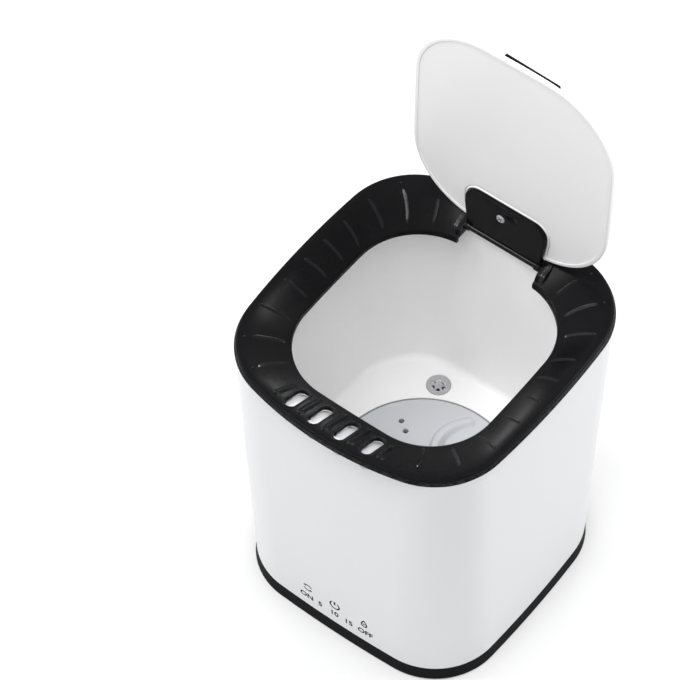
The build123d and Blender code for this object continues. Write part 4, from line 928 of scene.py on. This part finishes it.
@dataclass
class WashTub:
    """The tub, its strainer and the domed pulsator with swept vanes."""

    radius: float = 80.6
    rim: float = 101.0
    rise: float = 4.8
    edge: float = 1.2
    skin: float = 3.0
    vane_count: int = 4
    vane_inner: float = 17.0
    vane_outer: float = 68.0
    vane_sweep: float = 9.0
    vane_crown: float = 6.9
    vane_slope: float = 4.6
    vane_top: float = 120.2
    vane_fall: float = 17.2
    hub_radius: float = 9.0
    hub_foot: float = 95.0
    sides: int = 320
    hole_radii: tuple[float, float] = (46.0, 58.0)
    hole_bearing: float = 145.0
    hole_radius: float = 2.6
    cap_radius: float = 15.0
    cap_seat: float = 103.5
    cap_rise: float = 4.0
    cap_edge: float = 1.2

    def dome(self, reach: np.ndarray) -> np.ndarray:
        """Height of the disc: rim + rise (1 - (r / R)^2)."""
        return self.rim + self.rise * (1 - (reach / self.radius) ** 2)

    def vanes(self, reach: np.ndarray, turn: np.ndarray) -> np.ndarray:
        """How far the vanes stand over the disc, at polar places.

        Each vane follows a line y = s (1 - ((x - m) / h)^2). Its flanks fall by a
        smooth step of the distance to that line, and its top falls from the middle
        to the rim as a cone does.

        Args:
            reach: distances from the middle.
            turn: bearings, of the same shape.

        Returns:
            Heights of the same shape.
        """
        middle = (self.vane_inner + self.vane_outer) / 2
        half = (self.vane_outer - self.vane_inner) / 2
        stand = np.zeros_like(reach)
        crown = self.vane_top - self.vane_fall * reach / self.radius
        for k in range(self.vane_count):
            bearing = turn - k * FULL_TURN / self.vane_count
            x, y = reach * np.cos(bearing), reach * np.sin(bearing)
            foot = np.clip(x, self.vane_inner, self.vane_outer)
            line = self.vane_sweep * (1 - ((foot - middle) / half) ** 2)
            off = np.hypot(y - line, x - foot)
            share = smooth_step((self.vane_crown - off) / self.vane_slope)
            stand = np.maximum(stand, share * (crown - self.dome(reach)))
        return stand

    def disc(self) -> Surface:
        """The pulsator: underside, rounded rim, dome with vanes up to the middle."""
        turn = FULL_TURN * np.arange(self.sides) / self.sides
        low, hub = self.rim - self.skin, self.hub_radius
        under = [(1.0, self.hub_foot), (hub, self.hub_foot), (hub, low + 2.4), (40.0, low + 1.0),
                 (self.radius - 3, low - 0.4), (self.radius - self.edge, low - 0.4),
                 (self.radius, low + 0.6)]
        out, up = quarter(self.edge, 5)
        under += [(self.radius - c, self.rim - self.edge + s) for s, c in zip(out, up)][:-1]
        reach = np.linspace(self.radius - self.edge, 1.0, 92)
        r, t = np.meshgrid(reach, turn, indexing="ij")
        z = self.dome(r) + self.vanes(r, t)
        top = np.stack([r * np.cos(t), r * np.sin(t), z], axis=-1)
        return capped(np.concatenate([revolved(under, self.sides), top]))

    def hole_tool(self) -> Surface:
        """Upright rods where the disc is drained."""
        rods = []
        for reach in self.hole_radii:
            for k in range(self.vane_count):
                bearing = math.radians(self.hole_bearing) + k * FULL_TURN / self.vane_count
                rod = revolved([(self.hole_radius, 90.0), (self.hole_radius, 130.0)], 28)
                rods.append(capped(rod + np.array([reach * math.cos(bearing),
                                                   reach * math.sin(bearing), 0.0])))
        return joined(rods)

    def cap(self) -> Surface:
        """The round cap: a low dome with a soft edge and a shallow dish in its middle."""
        r = np.linspace(self.cap_radius - self.cap_edge, 0.5, 22)
        z = self.cap_seat + self.cap_rise * (1 - 0.45 * (r / self.cap_radius) ** 2)
        z = z - 0.7 * smooth_step((6.0 - r) / 3.0)
        out, up = quarter(self.cap_edge, 5)
        edge = [(self.cap_radius - c, float(z[0]) - self.cap_edge + s)
                for s, c in zip(out, up)][:-1]
        profile = [(0.5, self.cap_seat), (self.cap_radius - 0.3, self.cap_seat),
                   (self.cap_radius, self.cap_seat + 0.3)] + edge + list(zip(r, z))
        return capped(revolved(profile, 96))

    def build(self) -> None:
        """Makes the pulsator and its cap, and dresses the tub's nodes."""
        disc = new_piece("pulsator_disc", self.disc(), "pulsator_grey", Body.PULSATOR,
                         ("pulsator",), crease=45.0)
        cut(disc, self.hole_tool(), 45.0)
        new_piece("pulsator_button", self.cap(), "pulsator_grey", Body.PULSATOR,
                  ("pulsator_cap",), crease=45.0)
        dress({"wash_tub": "tub_white", "drain_strainer": "steel", "pulsator_screw": "steel"})


# Lid

@dataclass
class Lid:
    """The white domed lid with its liner, hinge plate, screw and grip.

    Its own places are (u, v, d): u towards -X, v up from the hinge and d out of the
    lid's dome, with the hinge's axis at v 0 and d 0.
    """

    hinge: tuple[float, float, float] = (0.0, 110.0, 312.5)
    lean: float = 0.9
    middle: float = 117.3
    outline: Outline = Outline.even(98.4, 109.1, 68.5, 1.0)
    seat: float = 3.0
    crest: float = 15.0
    dome_radius: float = 900.0
    edge_round: float = 2.8
    rim: float = 4.0
    rim_round: float = 1.3
    rim_inner_round: float = 0.45
    recess: float = 5.6
    liner_face: float = 3.4
    liner_hollow: float = 0.2
    pad_growth: float = 2.2
    pad_groove: float = 0.8
    pad_foot: float = 9.5
    barrel_half: float = 38.6
    barrel_radius: float = 2.8
    knuckle: float = 1.4
    knuckle_length: float = 5.0
    plate_half: float = 41.0
    plate_straight: float = 11.0
    plate_slope: float = 30.0
    plate_far: float = 50.0
    plate_corner: float = 13.0
    plate_face: float = -0.6
    plate_edge: float = 1.1
    dimple_at: tuple[float, float] = (-7.0, 42.8)
    dimple_radius: float = 5.8
    dimple_depth: float = 1.3
    dimple_slope: float = 4.5
    screw_at: tuple[float, float] = (3.5, 35.0)
    screw_radius: float = 3.95
    screw_rise: float = 1.7
    screw_sides: int = 120
    cross_half: tuple[float, float] = (0.72, 2.8)
    cross_depth: float = 1.2
    grip_half: tuple[float, float] = (27.5, 7.0)
    grip_middle: tuple[float, float] = (-10.5, 215.0)
    grip_height: float = 5.1
    grip_taper: float = 1.3
    grip_corner: float = 1.6
    grip_round: float = 0.6

    def place(self, local: np.ndarray) -> np.ndarray:
        """Model places of (u, v, d) places: a turn by the lean about the hinge's axis."""
        a = math.radians(self.lean)
        axes = np.array([(-1, 0, 0), (0, math.sin(a), math.cos(a)),
                         (0, math.cos(a), -math.sin(a))])
        return local @ axes + np.array(self.hinge)

    def dome(self, plan: np.ndarray) -> np.ndarray:
        """The dome's d over (u, v): crest - R + (R^2 - u^2 - (v - middle)^2)^(1/2)."""
        square = plan[:, 0] ** 2 + (plan[:, 1] - self.middle) ** 2
        return self.crest - self.dome_radius + np.sqrt(self.dome_radius ** 2 - square)

    def plan(self, growth: float, scale: float = 1.0) -> np.ndarray:
        """The lid's outline, grown, shrunk about its middle and moved to its place."""
        return self.outline.grown(growth).points() * scale + np.array([0.0, self.middle])

    def plate_plan(self, growth: float, foot: float = 0.0) -> np.ndarray:
        """The hinge plate's outline: straight at the barrel, wider and rounded above."""
        b, h, far = self.barrel_half + growth, self.plate_half + growth, self.plate_far + growth
        r = self.plate_corner + growth
        low = [(b, foot), (b, self.plate_straight), (h, self.plate_slope)]
        right = np.concatenate([np.linspace(low[0], low[1], 5)[:-1],
                                np.linspace(low[1], low[2], 7)])
        turn = np.linspace(0, math.pi / 2, 16)
        bend = np.stack([h - r + r * np.cos(turn), far - r + r * np.sin(turn)], axis=1)
        half = np.concatenate([right, bend])
        return np.concatenate([half, half[::-1] * np.array([-1.0, 1.0])])

    def solid(self, rings: Sequence[np.ndarray] | np.ndarray) -> Surface:
        """A closed stack of local rings, set in its place in the model."""
        return capped(np.stack([self.place(r) for r in rings]))

    def shell(self) -> Surface:
        """The lid: recess floor, rounded rim, side, rounded edge and dome to its pole."""
        inner, outer, soft = self.rim, self.rim_round, self.rim_inner_round
        rings = [lifted(self.plan(-inner, k), self.recess) for k in (0.04, 0.4, 0.8, 1.0)]
        out, up = quarter(soft, 5)
        rings += [lifted(self.plan(-inner + c), self.seat + soft - s) for s, c in zip(out, up)]
        out, up = quarter(outer, 6)
        rings += [lifted(self.plan(-outer + s), self.seat + c) for s, c in zip(out, up)]
        top = self.dome(self.plan(-self.edge_round))
        out, up = quarter(self.edge_round, 8)
        rings += [lifted(self.plan(-c), top - self.edge_round + s) for s, c in zip(out, up)]
        for k in np.linspace(0.985, 0.04, 16):
            plan = self.plan(-self.edge_round, k)
            rings.append(lifted(plan, self.dome(plan)))
        grow, foot, face = self.pad_growth, self.recess + 0.3, self.seat - 0.02
        out, up = quarter(1.0, 6)
        pad = [(0.4, foot), (0.4, self.seat + 0.3), (0.7, face)]
        pad += [(grow - 1.0 + s, face + c) for s, c in zip(out, up)] + [(grow, foot)]
        return joined([self.solid(rings), self.solid([
            lifted(self.plate_plan(by, self.pad_foot), d) for by, d in pad])])

    def liner(self) -> Surface:
        """The inner sheet: flat, with a border that rises to the rim in a hollow curve."""
        r = self.liner_hollow
        rings = [lifted(self.plan(-self.rim - 1.6, k), self.liner_face)
                 for k in (0.04, 0.4, 0.8, 0.97)]
        out, up = quarter(r, 6)
        rings += [lifted(self.plan(-self.rim - 0.02 - r + s), self.liner_face - c)
                  for s, c in zip(out, up)]
        rings.append(lifted(self.plan(-self.rim - 0.02), self.recess - 0.1))
        return self.solid(rings)

    def liner_tool(self) -> Surface:
        """The opening in the liner for the hinge plate's pad."""
        growth = self.pad_growth + self.pad_groove
        return self.solid([lifted(self.plate_plan(growth, -6.0), d) for d in (-3.0, 9.0)])

    def plate(self) -> Surface:
        """The hinge plate with rounded edges and a dimple.

        The rings of its face shrink towards the dimple's middle, which lies deeper by
        a smooth step of the distance to it.
        """
        out, up = quarter(self.plate_edge, 6)
        rings = [lifted(self.plate_plan(-self.plate_edge), self.plate_face)]
        middle = np.array(self.dimple_at)
        for k in np.concatenate([np.linspace(0.985, 0.3, 40), np.linspace(0.27, 0.01, 12)]):
            plan = middle + k * (rings[0][:, :2] - middle)
            off = np.linalg.norm(plan - middle, axis=1)
            sunk = self.dimple_depth * smooth_step(
                (self.dimple_radius - off) / self.dimple_slope)
            rings.append(lifted(plan, self.plate_face + sunk))
        rings = rings[:0:-1] + [lifted(self.plate_plan(-self.plate_edge + s),
                                       self.plate_face + c) for s, c in zip(out, up)]
        rings.append(lifted(self.plate_plan(0.0), self.seat))
        return self.solid(rings)

    def barrel(self) -> Surface:
        """The rod along the plate's foot, with a thicker knuckle at each end."""
        turn = FULL_TURN * np.arange(40) / 40
        half, thick, foot = self.barrel_half, self.knuckle, self.knuckle_length
        right = [(half - foot - 0.1, 1.0), (half - foot + 0.1, thick), (half - 0.9, thick),
                 (half - 0.3, thick - 0.05), (half, thick - 0.2)]
        steps = [(-u, k) for u, k in right[::-1]] + right
        barrel = np.stack([np.stack([np.full(40, u), k * self.barrel_radius * np.cos(turn),
                                     k * self.barrel_radius * np.sin(turn)], axis=1)
                           for u, k in steps])
        return self.solid(barrel)

    def screw(self) -> Surface:
        """A domed screw head with a cross recess.

        The head rises by h (1 - 0.35 (r / R)^2), and the cross is sunk by a smooth
        step of the distance to the nearer of its two bars.
        """
        reach = np.linspace(self.screw_radius - 0.35, 0.05, 26)
        turn = FULL_TURN * np.arange(self.screw_sides) / self.screw_sides
        r, t = np.meshgrid(reach, turn, indexing="ij")
        x, y = np.abs(r * np.cos(t + 0.5)), np.abs(r * np.sin(t + 0.5))
        thin, long = self.cross_half
        bar = np.minimum(np.maximum(x - thin, y - long), np.maximum(y - thin, x - long))
        rise = self.screw_rise * (1 - 0.35 * (r / self.screw_radius) ** 2)
        rise = rise - self.cross_depth * smooth_step(-bar / 0.25)
        top = np.stack([r * np.cos(t), r * np.sin(t), self.plate_face - rise], axis=-1)
        edge = [(0.5, self.plate_face + 0.2), (self.screw_radius, self.plate_face + 0.2),
                (self.screw_radius, self.plate_face - 0.7),
                (self.screw_radius - 0.1, self.plate_face - 0.95)]
        rings = np.concatenate([revolved(edge, self.screw_sides), top])
        return self.solid(rings + np.array([*self.screw_at, 0]))

    def grip(self) -> Surface:
        """The grip strip: a rounded rectangle on the dome, lower towards its +X end."""
        (a, b), corner, soft = self.grip_half, self.grip_corner, self.grip_round
        turn = FULL_TURN * (np.arange(96) + 0.5) / 96

        def plan(growth: float, scale: float = 1.0) -> np.ndarray:
            """The strip's outline: corner arcs pushed apart to the sides."""
            c, s = np.cos(turn), np.sin(turn)
            u = np.sign(c) * (a - corner) + (corner + growth) * c
            v = np.sign(s) * (b - corner) + (corner + growth) * s
            return np.stack([u, v], axis=1) * scale + np.array(self.grip_middle)

        def top(ring: np.ndarray) -> np.ndarray:
            """Height of the strip's top over a ring of its plan."""
            share = (self.grip_middle[0] + a - ring[:, 0]) / (2 * a)
            return self.dome(ring) + self.grip_height - self.grip_taper * share

        foot, (out, up) = plan(0.0), quarter(soft, 5)
        rings = [lifted(foot, self.dome(foot) - 0.3)]
        rings += [lifted(plan(-c), top(plan(-c)) - soft + s) for s, c in zip(out, up)]
        rings += [lifted(plan(-soft, k), top(plan(-soft, k))) for k in (0.8, 0.5, 0.2)]
        return self.solid(rings)

    def build(self) -> None:
        """Makes the lid's pieces and dresses the hinge pin."""
        new_piece("lid_cover", self.shell(), "lid_white", Body.LID, ("lid_shell",), crease=50.0)
        liner = new_piece("lid_inner_sheet", self.liner(), "liner_white", Body.LID,
                          ("lid_liner",), crease=50.0)
        cut(liner, self.liner_tool(), 50.0)
        new_piece("hinge_leaf", self.plate(), "hinge_black", Body.LID,
                  ("hinge_plate",), crease=50.0)
        new_piece("hinge_barrel", self.barrel(), "hinge_black", Body.LID, crease=50.0,
                  polish=1.0)
        new_piece("hinge_screw_head", self.screw(), "steel", Body.LID, ("hinge_screw",),
                  crease=40.0, turn_out=True)
        new_piece("lid_grip_strip", self.grip(), "hinge_black", Body.LID, ("lid_grip",),
                  crease=50.0)
        dress({"hinge_pin": "steel"})


# Cabinet and marks

@dataclass
class Cabinet:
    """The white housing, the black base band and the marks printed on the front."""

    foot: Outline = Outline.even(124.0, 124.0, 63.5, 6.0)
    top: Outline = Outline.even(128.4, 133.5, 53.6, 7.4)
    foot_height: float = 16.4
    top_height: float = 315.4
    mark_height: float = 44.4
    mark_places: tuple[float, float, float] = (-30.4, -0.6, 31.0)
    scale_height: float = 30.8
    letter: float = 9.2
    letter_drop: float = 0.36
    letter_swell: float = 0.24
    stroke: float = 1.35
    print_depth: float = 0.05
    scale: tuple[tuple[str, float], ...] = (("ON", -32.0), ("5", -17.0), ("10", -1.5),
                                            ("15", 14.0), ("OFF", 32.0))

    def front(self, x: np.ndarray, z: np.ndarray) -> np.ndarray:
        """The front wall's y: a shallow arc, y = bow (x / half chord)^2 - depth."""
        share = (z - self.foot_height) / (self.top_height - self.foot_height)
        depth = self.foot.front + share * (self.top.front - self.foot.front)
        bow = self.foot.front_bow + share * (self.top.front_bow - self.foot.front_bow)
        chord = self.foot.half + share * (self.top.half - self.foot.half) - bow
        return bow * (x / chord) ** 2 - depth

    def printed(self, line: np.ndarray, width: float) -> Surface:
        """A stroke of ink along a line of (x, z) points on the front wall.

        Its cross-section is a flat box of the stroke's width and the print's depth.

        Args:
            line: points of the line's middle, (n, 2).
            width: the stroke's width.

        Returns:
            The closed stroke.
        """
        along = np.gradient(line, axis=0)
        along /= np.linalg.norm(along, axis=1)[:, None]
        across = np.stack([-along[:, 1], along[:, 0]], axis=1)
        rings = []
        for side, out in ((1, 0), (1, 1), (-1, 1), (-1, 0)):
            flat = line + side * width / 2 * across
            y = self.front(flat[:, 0], flat[:, 1]) - 0.01 - out * self.print_depth
            rings.append(np.stack([flat[:, 0], y, flat[:, 1]], axis=1))
        return capped(np.stack(rings, axis=1))

    def ring_line(self, x: float, radius: float, start: float, stop: float,
                  count: int = 40) -> np.ndarray:
        """An arc of a mark, in degrees from +X towards +Z."""
        turn = np.radians(np.linspace(start, stop, count))
        return np.stack([x + radius * np.cos(turn), self.mark_height + radius * np.sin(turn)],
                        axis=1)

    def marks(self) -> Surface:
        """Three plain marks: turning arrows, the on and off sign, and a drop."""
        left, centre, right = self.mark_places
        strokes = []
        for start in (20.0, 200.0):
            line = self.ring_line(left, 4.0, start, start + 135)
            strokes.append(self.printed(line, self.stroke))
            tip, turn = line[-1], math.radians(start + 135 + 90)
            for bend in (150, 210):
                a = turn + math.radians(bend)
                barb = tip + np.outer([0, 1], 1.9 * np.array([math.cos(a), math.sin(a)]))
                strokes.append(self.printed(barb, self.stroke))
        strokes.append(self.printed(self.ring_line(centre, 4.9, 125, 415), 1.5))
        bar = np.array([(centre, self.mark_height + 0.6), (centre, self.mark_height + 5.9)])
        strokes.append(self.printed(bar, 1.6))
        t = np.linspace(0, FULL_TURN, 48)
        drop = np.stack([right + 3.6 * np.sin(t) * np.sin(t / 2) ** 1.2,
                         self.mark_height + 4.8 * np.cos(t)], axis=1)
        strokes.append(self.printed(drop, self.stroke))
        wave = np.linspace(-1.3, 1.3, 20)
        wave = np.stack([right + wave, self.mark_height - 1.2 + 0.5 * np.sin(3 * wave)], axis=1)
        strokes.append(self.printed(wave, 0.9))
        return joined(strokes)

    def scale_words(self) -> Surface:
        """The words of the scale under the marks, laid on the wall letter by letter."""
        made = []
        for word, x in self.scale:
            curve = bpy.data.curves.new("word", "FONT")
            curve.body, curve.size, curve.extrude = word, self.letter, self.print_depth / 2
            curve.align_x, curve.resolution_u, curve.offset = "CENTER", 6, self.letter_swell
            holder = linked("word", curve)
            graph = bpy.context.evaluated_depsgraph_get()
            mesh = bpy.data.meshes.new_from_object(holder.evaluated_get(graph))
            flat = np.empty(len(mesh.vertices) * 3)
            mesh.vertices.foreach_get("co", flat)
            flat = flat.reshape(-1, 3)
            foot = self.scale_height - self.letter_drop * self.letter
            px, pz = flat[:, 0] + x, flat[:, 1] + foot
            py = self.front(px, pz) - 0.01 - (flat[:, 2] + self.print_depth / 2)
            mesh.calc_loop_triangles()
            tris = np.empty(len(mesh.loop_triangles) * 3, int)
            mesh.loop_triangles.foreach_get("vertices", tris)
            made.append(Surface(np.stack([px, py, pz], axis=1), np.zeros((0, 4), int),
                                tris.reshape(-1, 3)))
            bpy.data.objects.remove(holder)
            bpy.data.meshes.remove(mesh)
        return joined(made)

    def build(self) -> None:
        """Makes the marks and dresses the housing, the base and its fixings."""
        new_piece("front_marks", self.marks(), "base_black", Body.FIXED, turn_out=True)
        new_piece("front_scale", self.scale_words(), "base_black", Body.FIXED, turn_out=True)
        dress({"outer_housing": "housing_white", "base_pan": "base_black",
               "rubber_feet": "rubber", "base_screws": "steel"})


@dataclass
class InnerWorks:
    """The drive, the drain and the electrics, which keep the frame's own shapes."""

    drive: dict[str, str] = field(default_factory=lambda: {
        "drive_gear": "gear_nylon", "drive_shaft": "steel", "gear_clip": "steel",
        "motor_pinion": "gear_nylon", "upper_bearing": "steel", "lower_bearing": "steel",
        "shaft_seal": "rubber", "gearbox_case": "inner_plastic",
        "gearbox_cover": "inner_plastic", "gearbox_screws": "steel", "wash_motor": "steel",
        "motor_armature": "steel", "motor_screws": "steel", "motor_shaft": "steel"})
    drain: dict[str, str] = field(default_factory=lambda: {
        "pump_body": "inner_plastic", "pump_impeller": "gear_nylon", "pump_shaft": "steel",
        "pump_motor": "steel", "pump_inlet_hose": "hose_grey",
        "pump_outlet_hose": "hose_grey", "hose_clamps": "steel",
        "drain_spigot": "inner_plastic", "spigot_nut": "inner_plastic"})
    electrics: dict[str, str] = field(default_factory=lambda: {
        "control_board": "board_green", "board_holder": "inner_plastic",
        "board_screws": "steel", "touch_pads": "pad_copper", "power_board": "board_green",
        "power_board_screws": "steel", "power_socket": "inner_plastic",
        "socket_nut": "steel"})

    def build(self) -> None:
        """Dresses every node of the three groups."""
        for nodes in (self.drive, self.drain, self.electrics):
            dress(nodes)


# Studio

def seen_share(g: Graph) -> bpy.types.NodeSocket:
    """1 for rays from the camera, a mirror or glass, and 0 for light on the object."""
    rays = g.add("LightPath").outputs
    return g.maths("MAXIMUM", g.maths("MAXIMUM", rays["Is Camera Ray"], rays["Is Glossy Ray"]),
                   rays["Is Transmission Ray"])


@dataclass(frozen=True)
class Lamp:
    """A soft square lamp that looks at the object."""

    name: str
    azimuth: float
    elevation: float
    distance: float
    size: float
    power: float
    target: tuple[float, float, float] = (0.0, 0.0, 0.2)
    mirrored: bool = True

    def build(self) -> None:
        """Hangs the lamp at its azimuth and elevation, from the front towards +X."""
        az, el = math.radians(self.azimuth), math.radians(self.elevation)
        way = Vector((math.sin(az) * math.cos(el), -math.cos(az) * math.cos(el), math.sin(el)))
        data = bpy.data.lights.new(self.name, "AREA")
        data.shape, data.size, data.energy = "SQUARE", self.size, self.power
        lamp = linked(self.name, data)
        lamp.location = Vector(self.target) + self.distance * way
        lamp.rotation_euler = way.to_track_quat("Z", "Y").to_euler()
        lamp.visible_glossy = self.mirrored


@dataclass
class Studio:
    """Camera, pale floor, even world light and soft lamps."""

    azimuth: float = 38.01
    elevation: float = 53.78
    roll: float = -0.65
    distance: float = 3.4025
    lens: float = 205.34
    target: tuple[float, float, float] = (-0.12305, 0.04352, 0.150)
    world_light: float = 0.50
    floor_half: float = 6.0
    floor_colour: float = 0.6
    floor_glow: float = 0.27
    lamps: tuple[Lamp, ...] = (
        Lamp("left_softbox", -58.0, 36.0, 2.6, 1.4, 4.0),
        Lamp("right_softbox", 142.0, 28.0, 2.6, 1.3, 17.0),
        Lamp("front_softbox", 12.0, 64.0, 2.5, 1.1, 17.0, mirrored=False),
        Lamp("overhead_softbox", 0.0, 87.0, 2.4, 1.6, 22.0, mirrored=False),
        Lamp("rib_lamp", -74.0, 33.0, 2.6, 0.4, 11.0),
        Lamp("rod_lamp", -52.0, 62.0, 2.6, 0.5, 13.0),
        Lamp("low_left_lamp", -120.0, 16.0, 2.6, 0.25, 4.5),
        Lamp("low_rear_lamp", -157.0, 20.0, 2.6, 0.25, 6.0),
        Lamp("rear_right_lamp", 148.0, 50.8, 2.6, 0.4, 16.0),
    )

    def camera(self) -> None:
        """Stands the camera at the photograph's viewing angle."""
        az, el, roll = (math.radians(a) for a in (self.azimuth, self.elevation, self.roll))
        back = Vector((math.sin(az) * math.cos(el), -math.cos(az) * math.cos(el), math.sin(el)))
        right = Vector((math.cos(az), math.sin(az), 0))
        up = back.cross(right)
        side = math.cos(roll) * right + math.sin(roll) * up
        top = -math.sin(roll) * right + math.cos(roll) * up
        data = bpy.data.cameras.new("camera")
        data.lens, data.clip_end = self.lens, 100
        camera = linked("camera", data)
        matrix = Matrix((side, top, back)).transposed().to_4x4()
        matrix.translation = Vector(self.target) + back * self.distance
        camera.matrix_world = matrix
        bpy.context.scene.camera = camera

    def world(self) -> None:
        """White where it is seen or mirrored, and plain light everywhere else."""
        world = bpy.data.worlds.new("studio")
        world.use_nodes = True
        g = Graph(world.node_tree)
        strength = g.add("Mix", {0: seen_share(g), 2: self.world_light, 3: 1.0},
                         data_type="FLOAT")
        shader = world.node_tree.nodes["Background"]
        shader.inputs["Color"].default_value = (1, 1, 1, 1)
        g.tree.links.new(strength.outputs[0], shader.inputs["Strength"])
        bpy.context.scene.world = world

    def floor(self) -> None:
        """A pale floor that takes the shadow and glows a little where it is seen."""
        h = self.floor_half
        mesh = bpy.data.meshes.new("studio_floor")
        mesh.from_pydata([(-h, -h, 0), (h, -h, 0), (h, h, 0), (-h, h, 0)], [], [(0, 1, 2, 3)])
        floor = linked("studio_floor", mesh)
        material = bpy.data.materials.new("studio_floor")
        material.use_nodes = True
        g = Graph(material.node_tree)
        glow = g.add("Emission", {"Strength": g.maths("MULTIPLY", seen_share(g),
                                                      self.floor_glow)})
        plain = g.add("BsdfDiffuse", {"Color": (*[self.floor_colour] * 3, 1)})
        both = g.add("AddShader", {0: plain.outputs[0], 1: glow.outputs[0]})
        output = material.node_tree.nodes["Material Output"]
        g.tree.links.new(both.outputs[0], output.inputs["Surface"])
        mesh.materials.append(material)

    def build(self) -> None:
        """Sets up the camera, the world, the floor and the lamps."""
        bpy.context.scene.view_settings.view_transform = "Standard"
        self.camera()
        self.world()
        self.floor()
        for lamp in self.lamps:
            lamp.build()


def main() -> None:
    """Builds the studio and each sub-assembly in order, and reports every piece."""
    logging.basicConfig(level=logging.INFO, format="%(name)s: %(message)s")
    for part in (Studio(), Cabinet(), DeckRing(), WashTub(), Lid(), InnerWorks()):
        log.info("building %s", type(part).__name__)
        part.build()


if __name__ == "__main__":
    main()
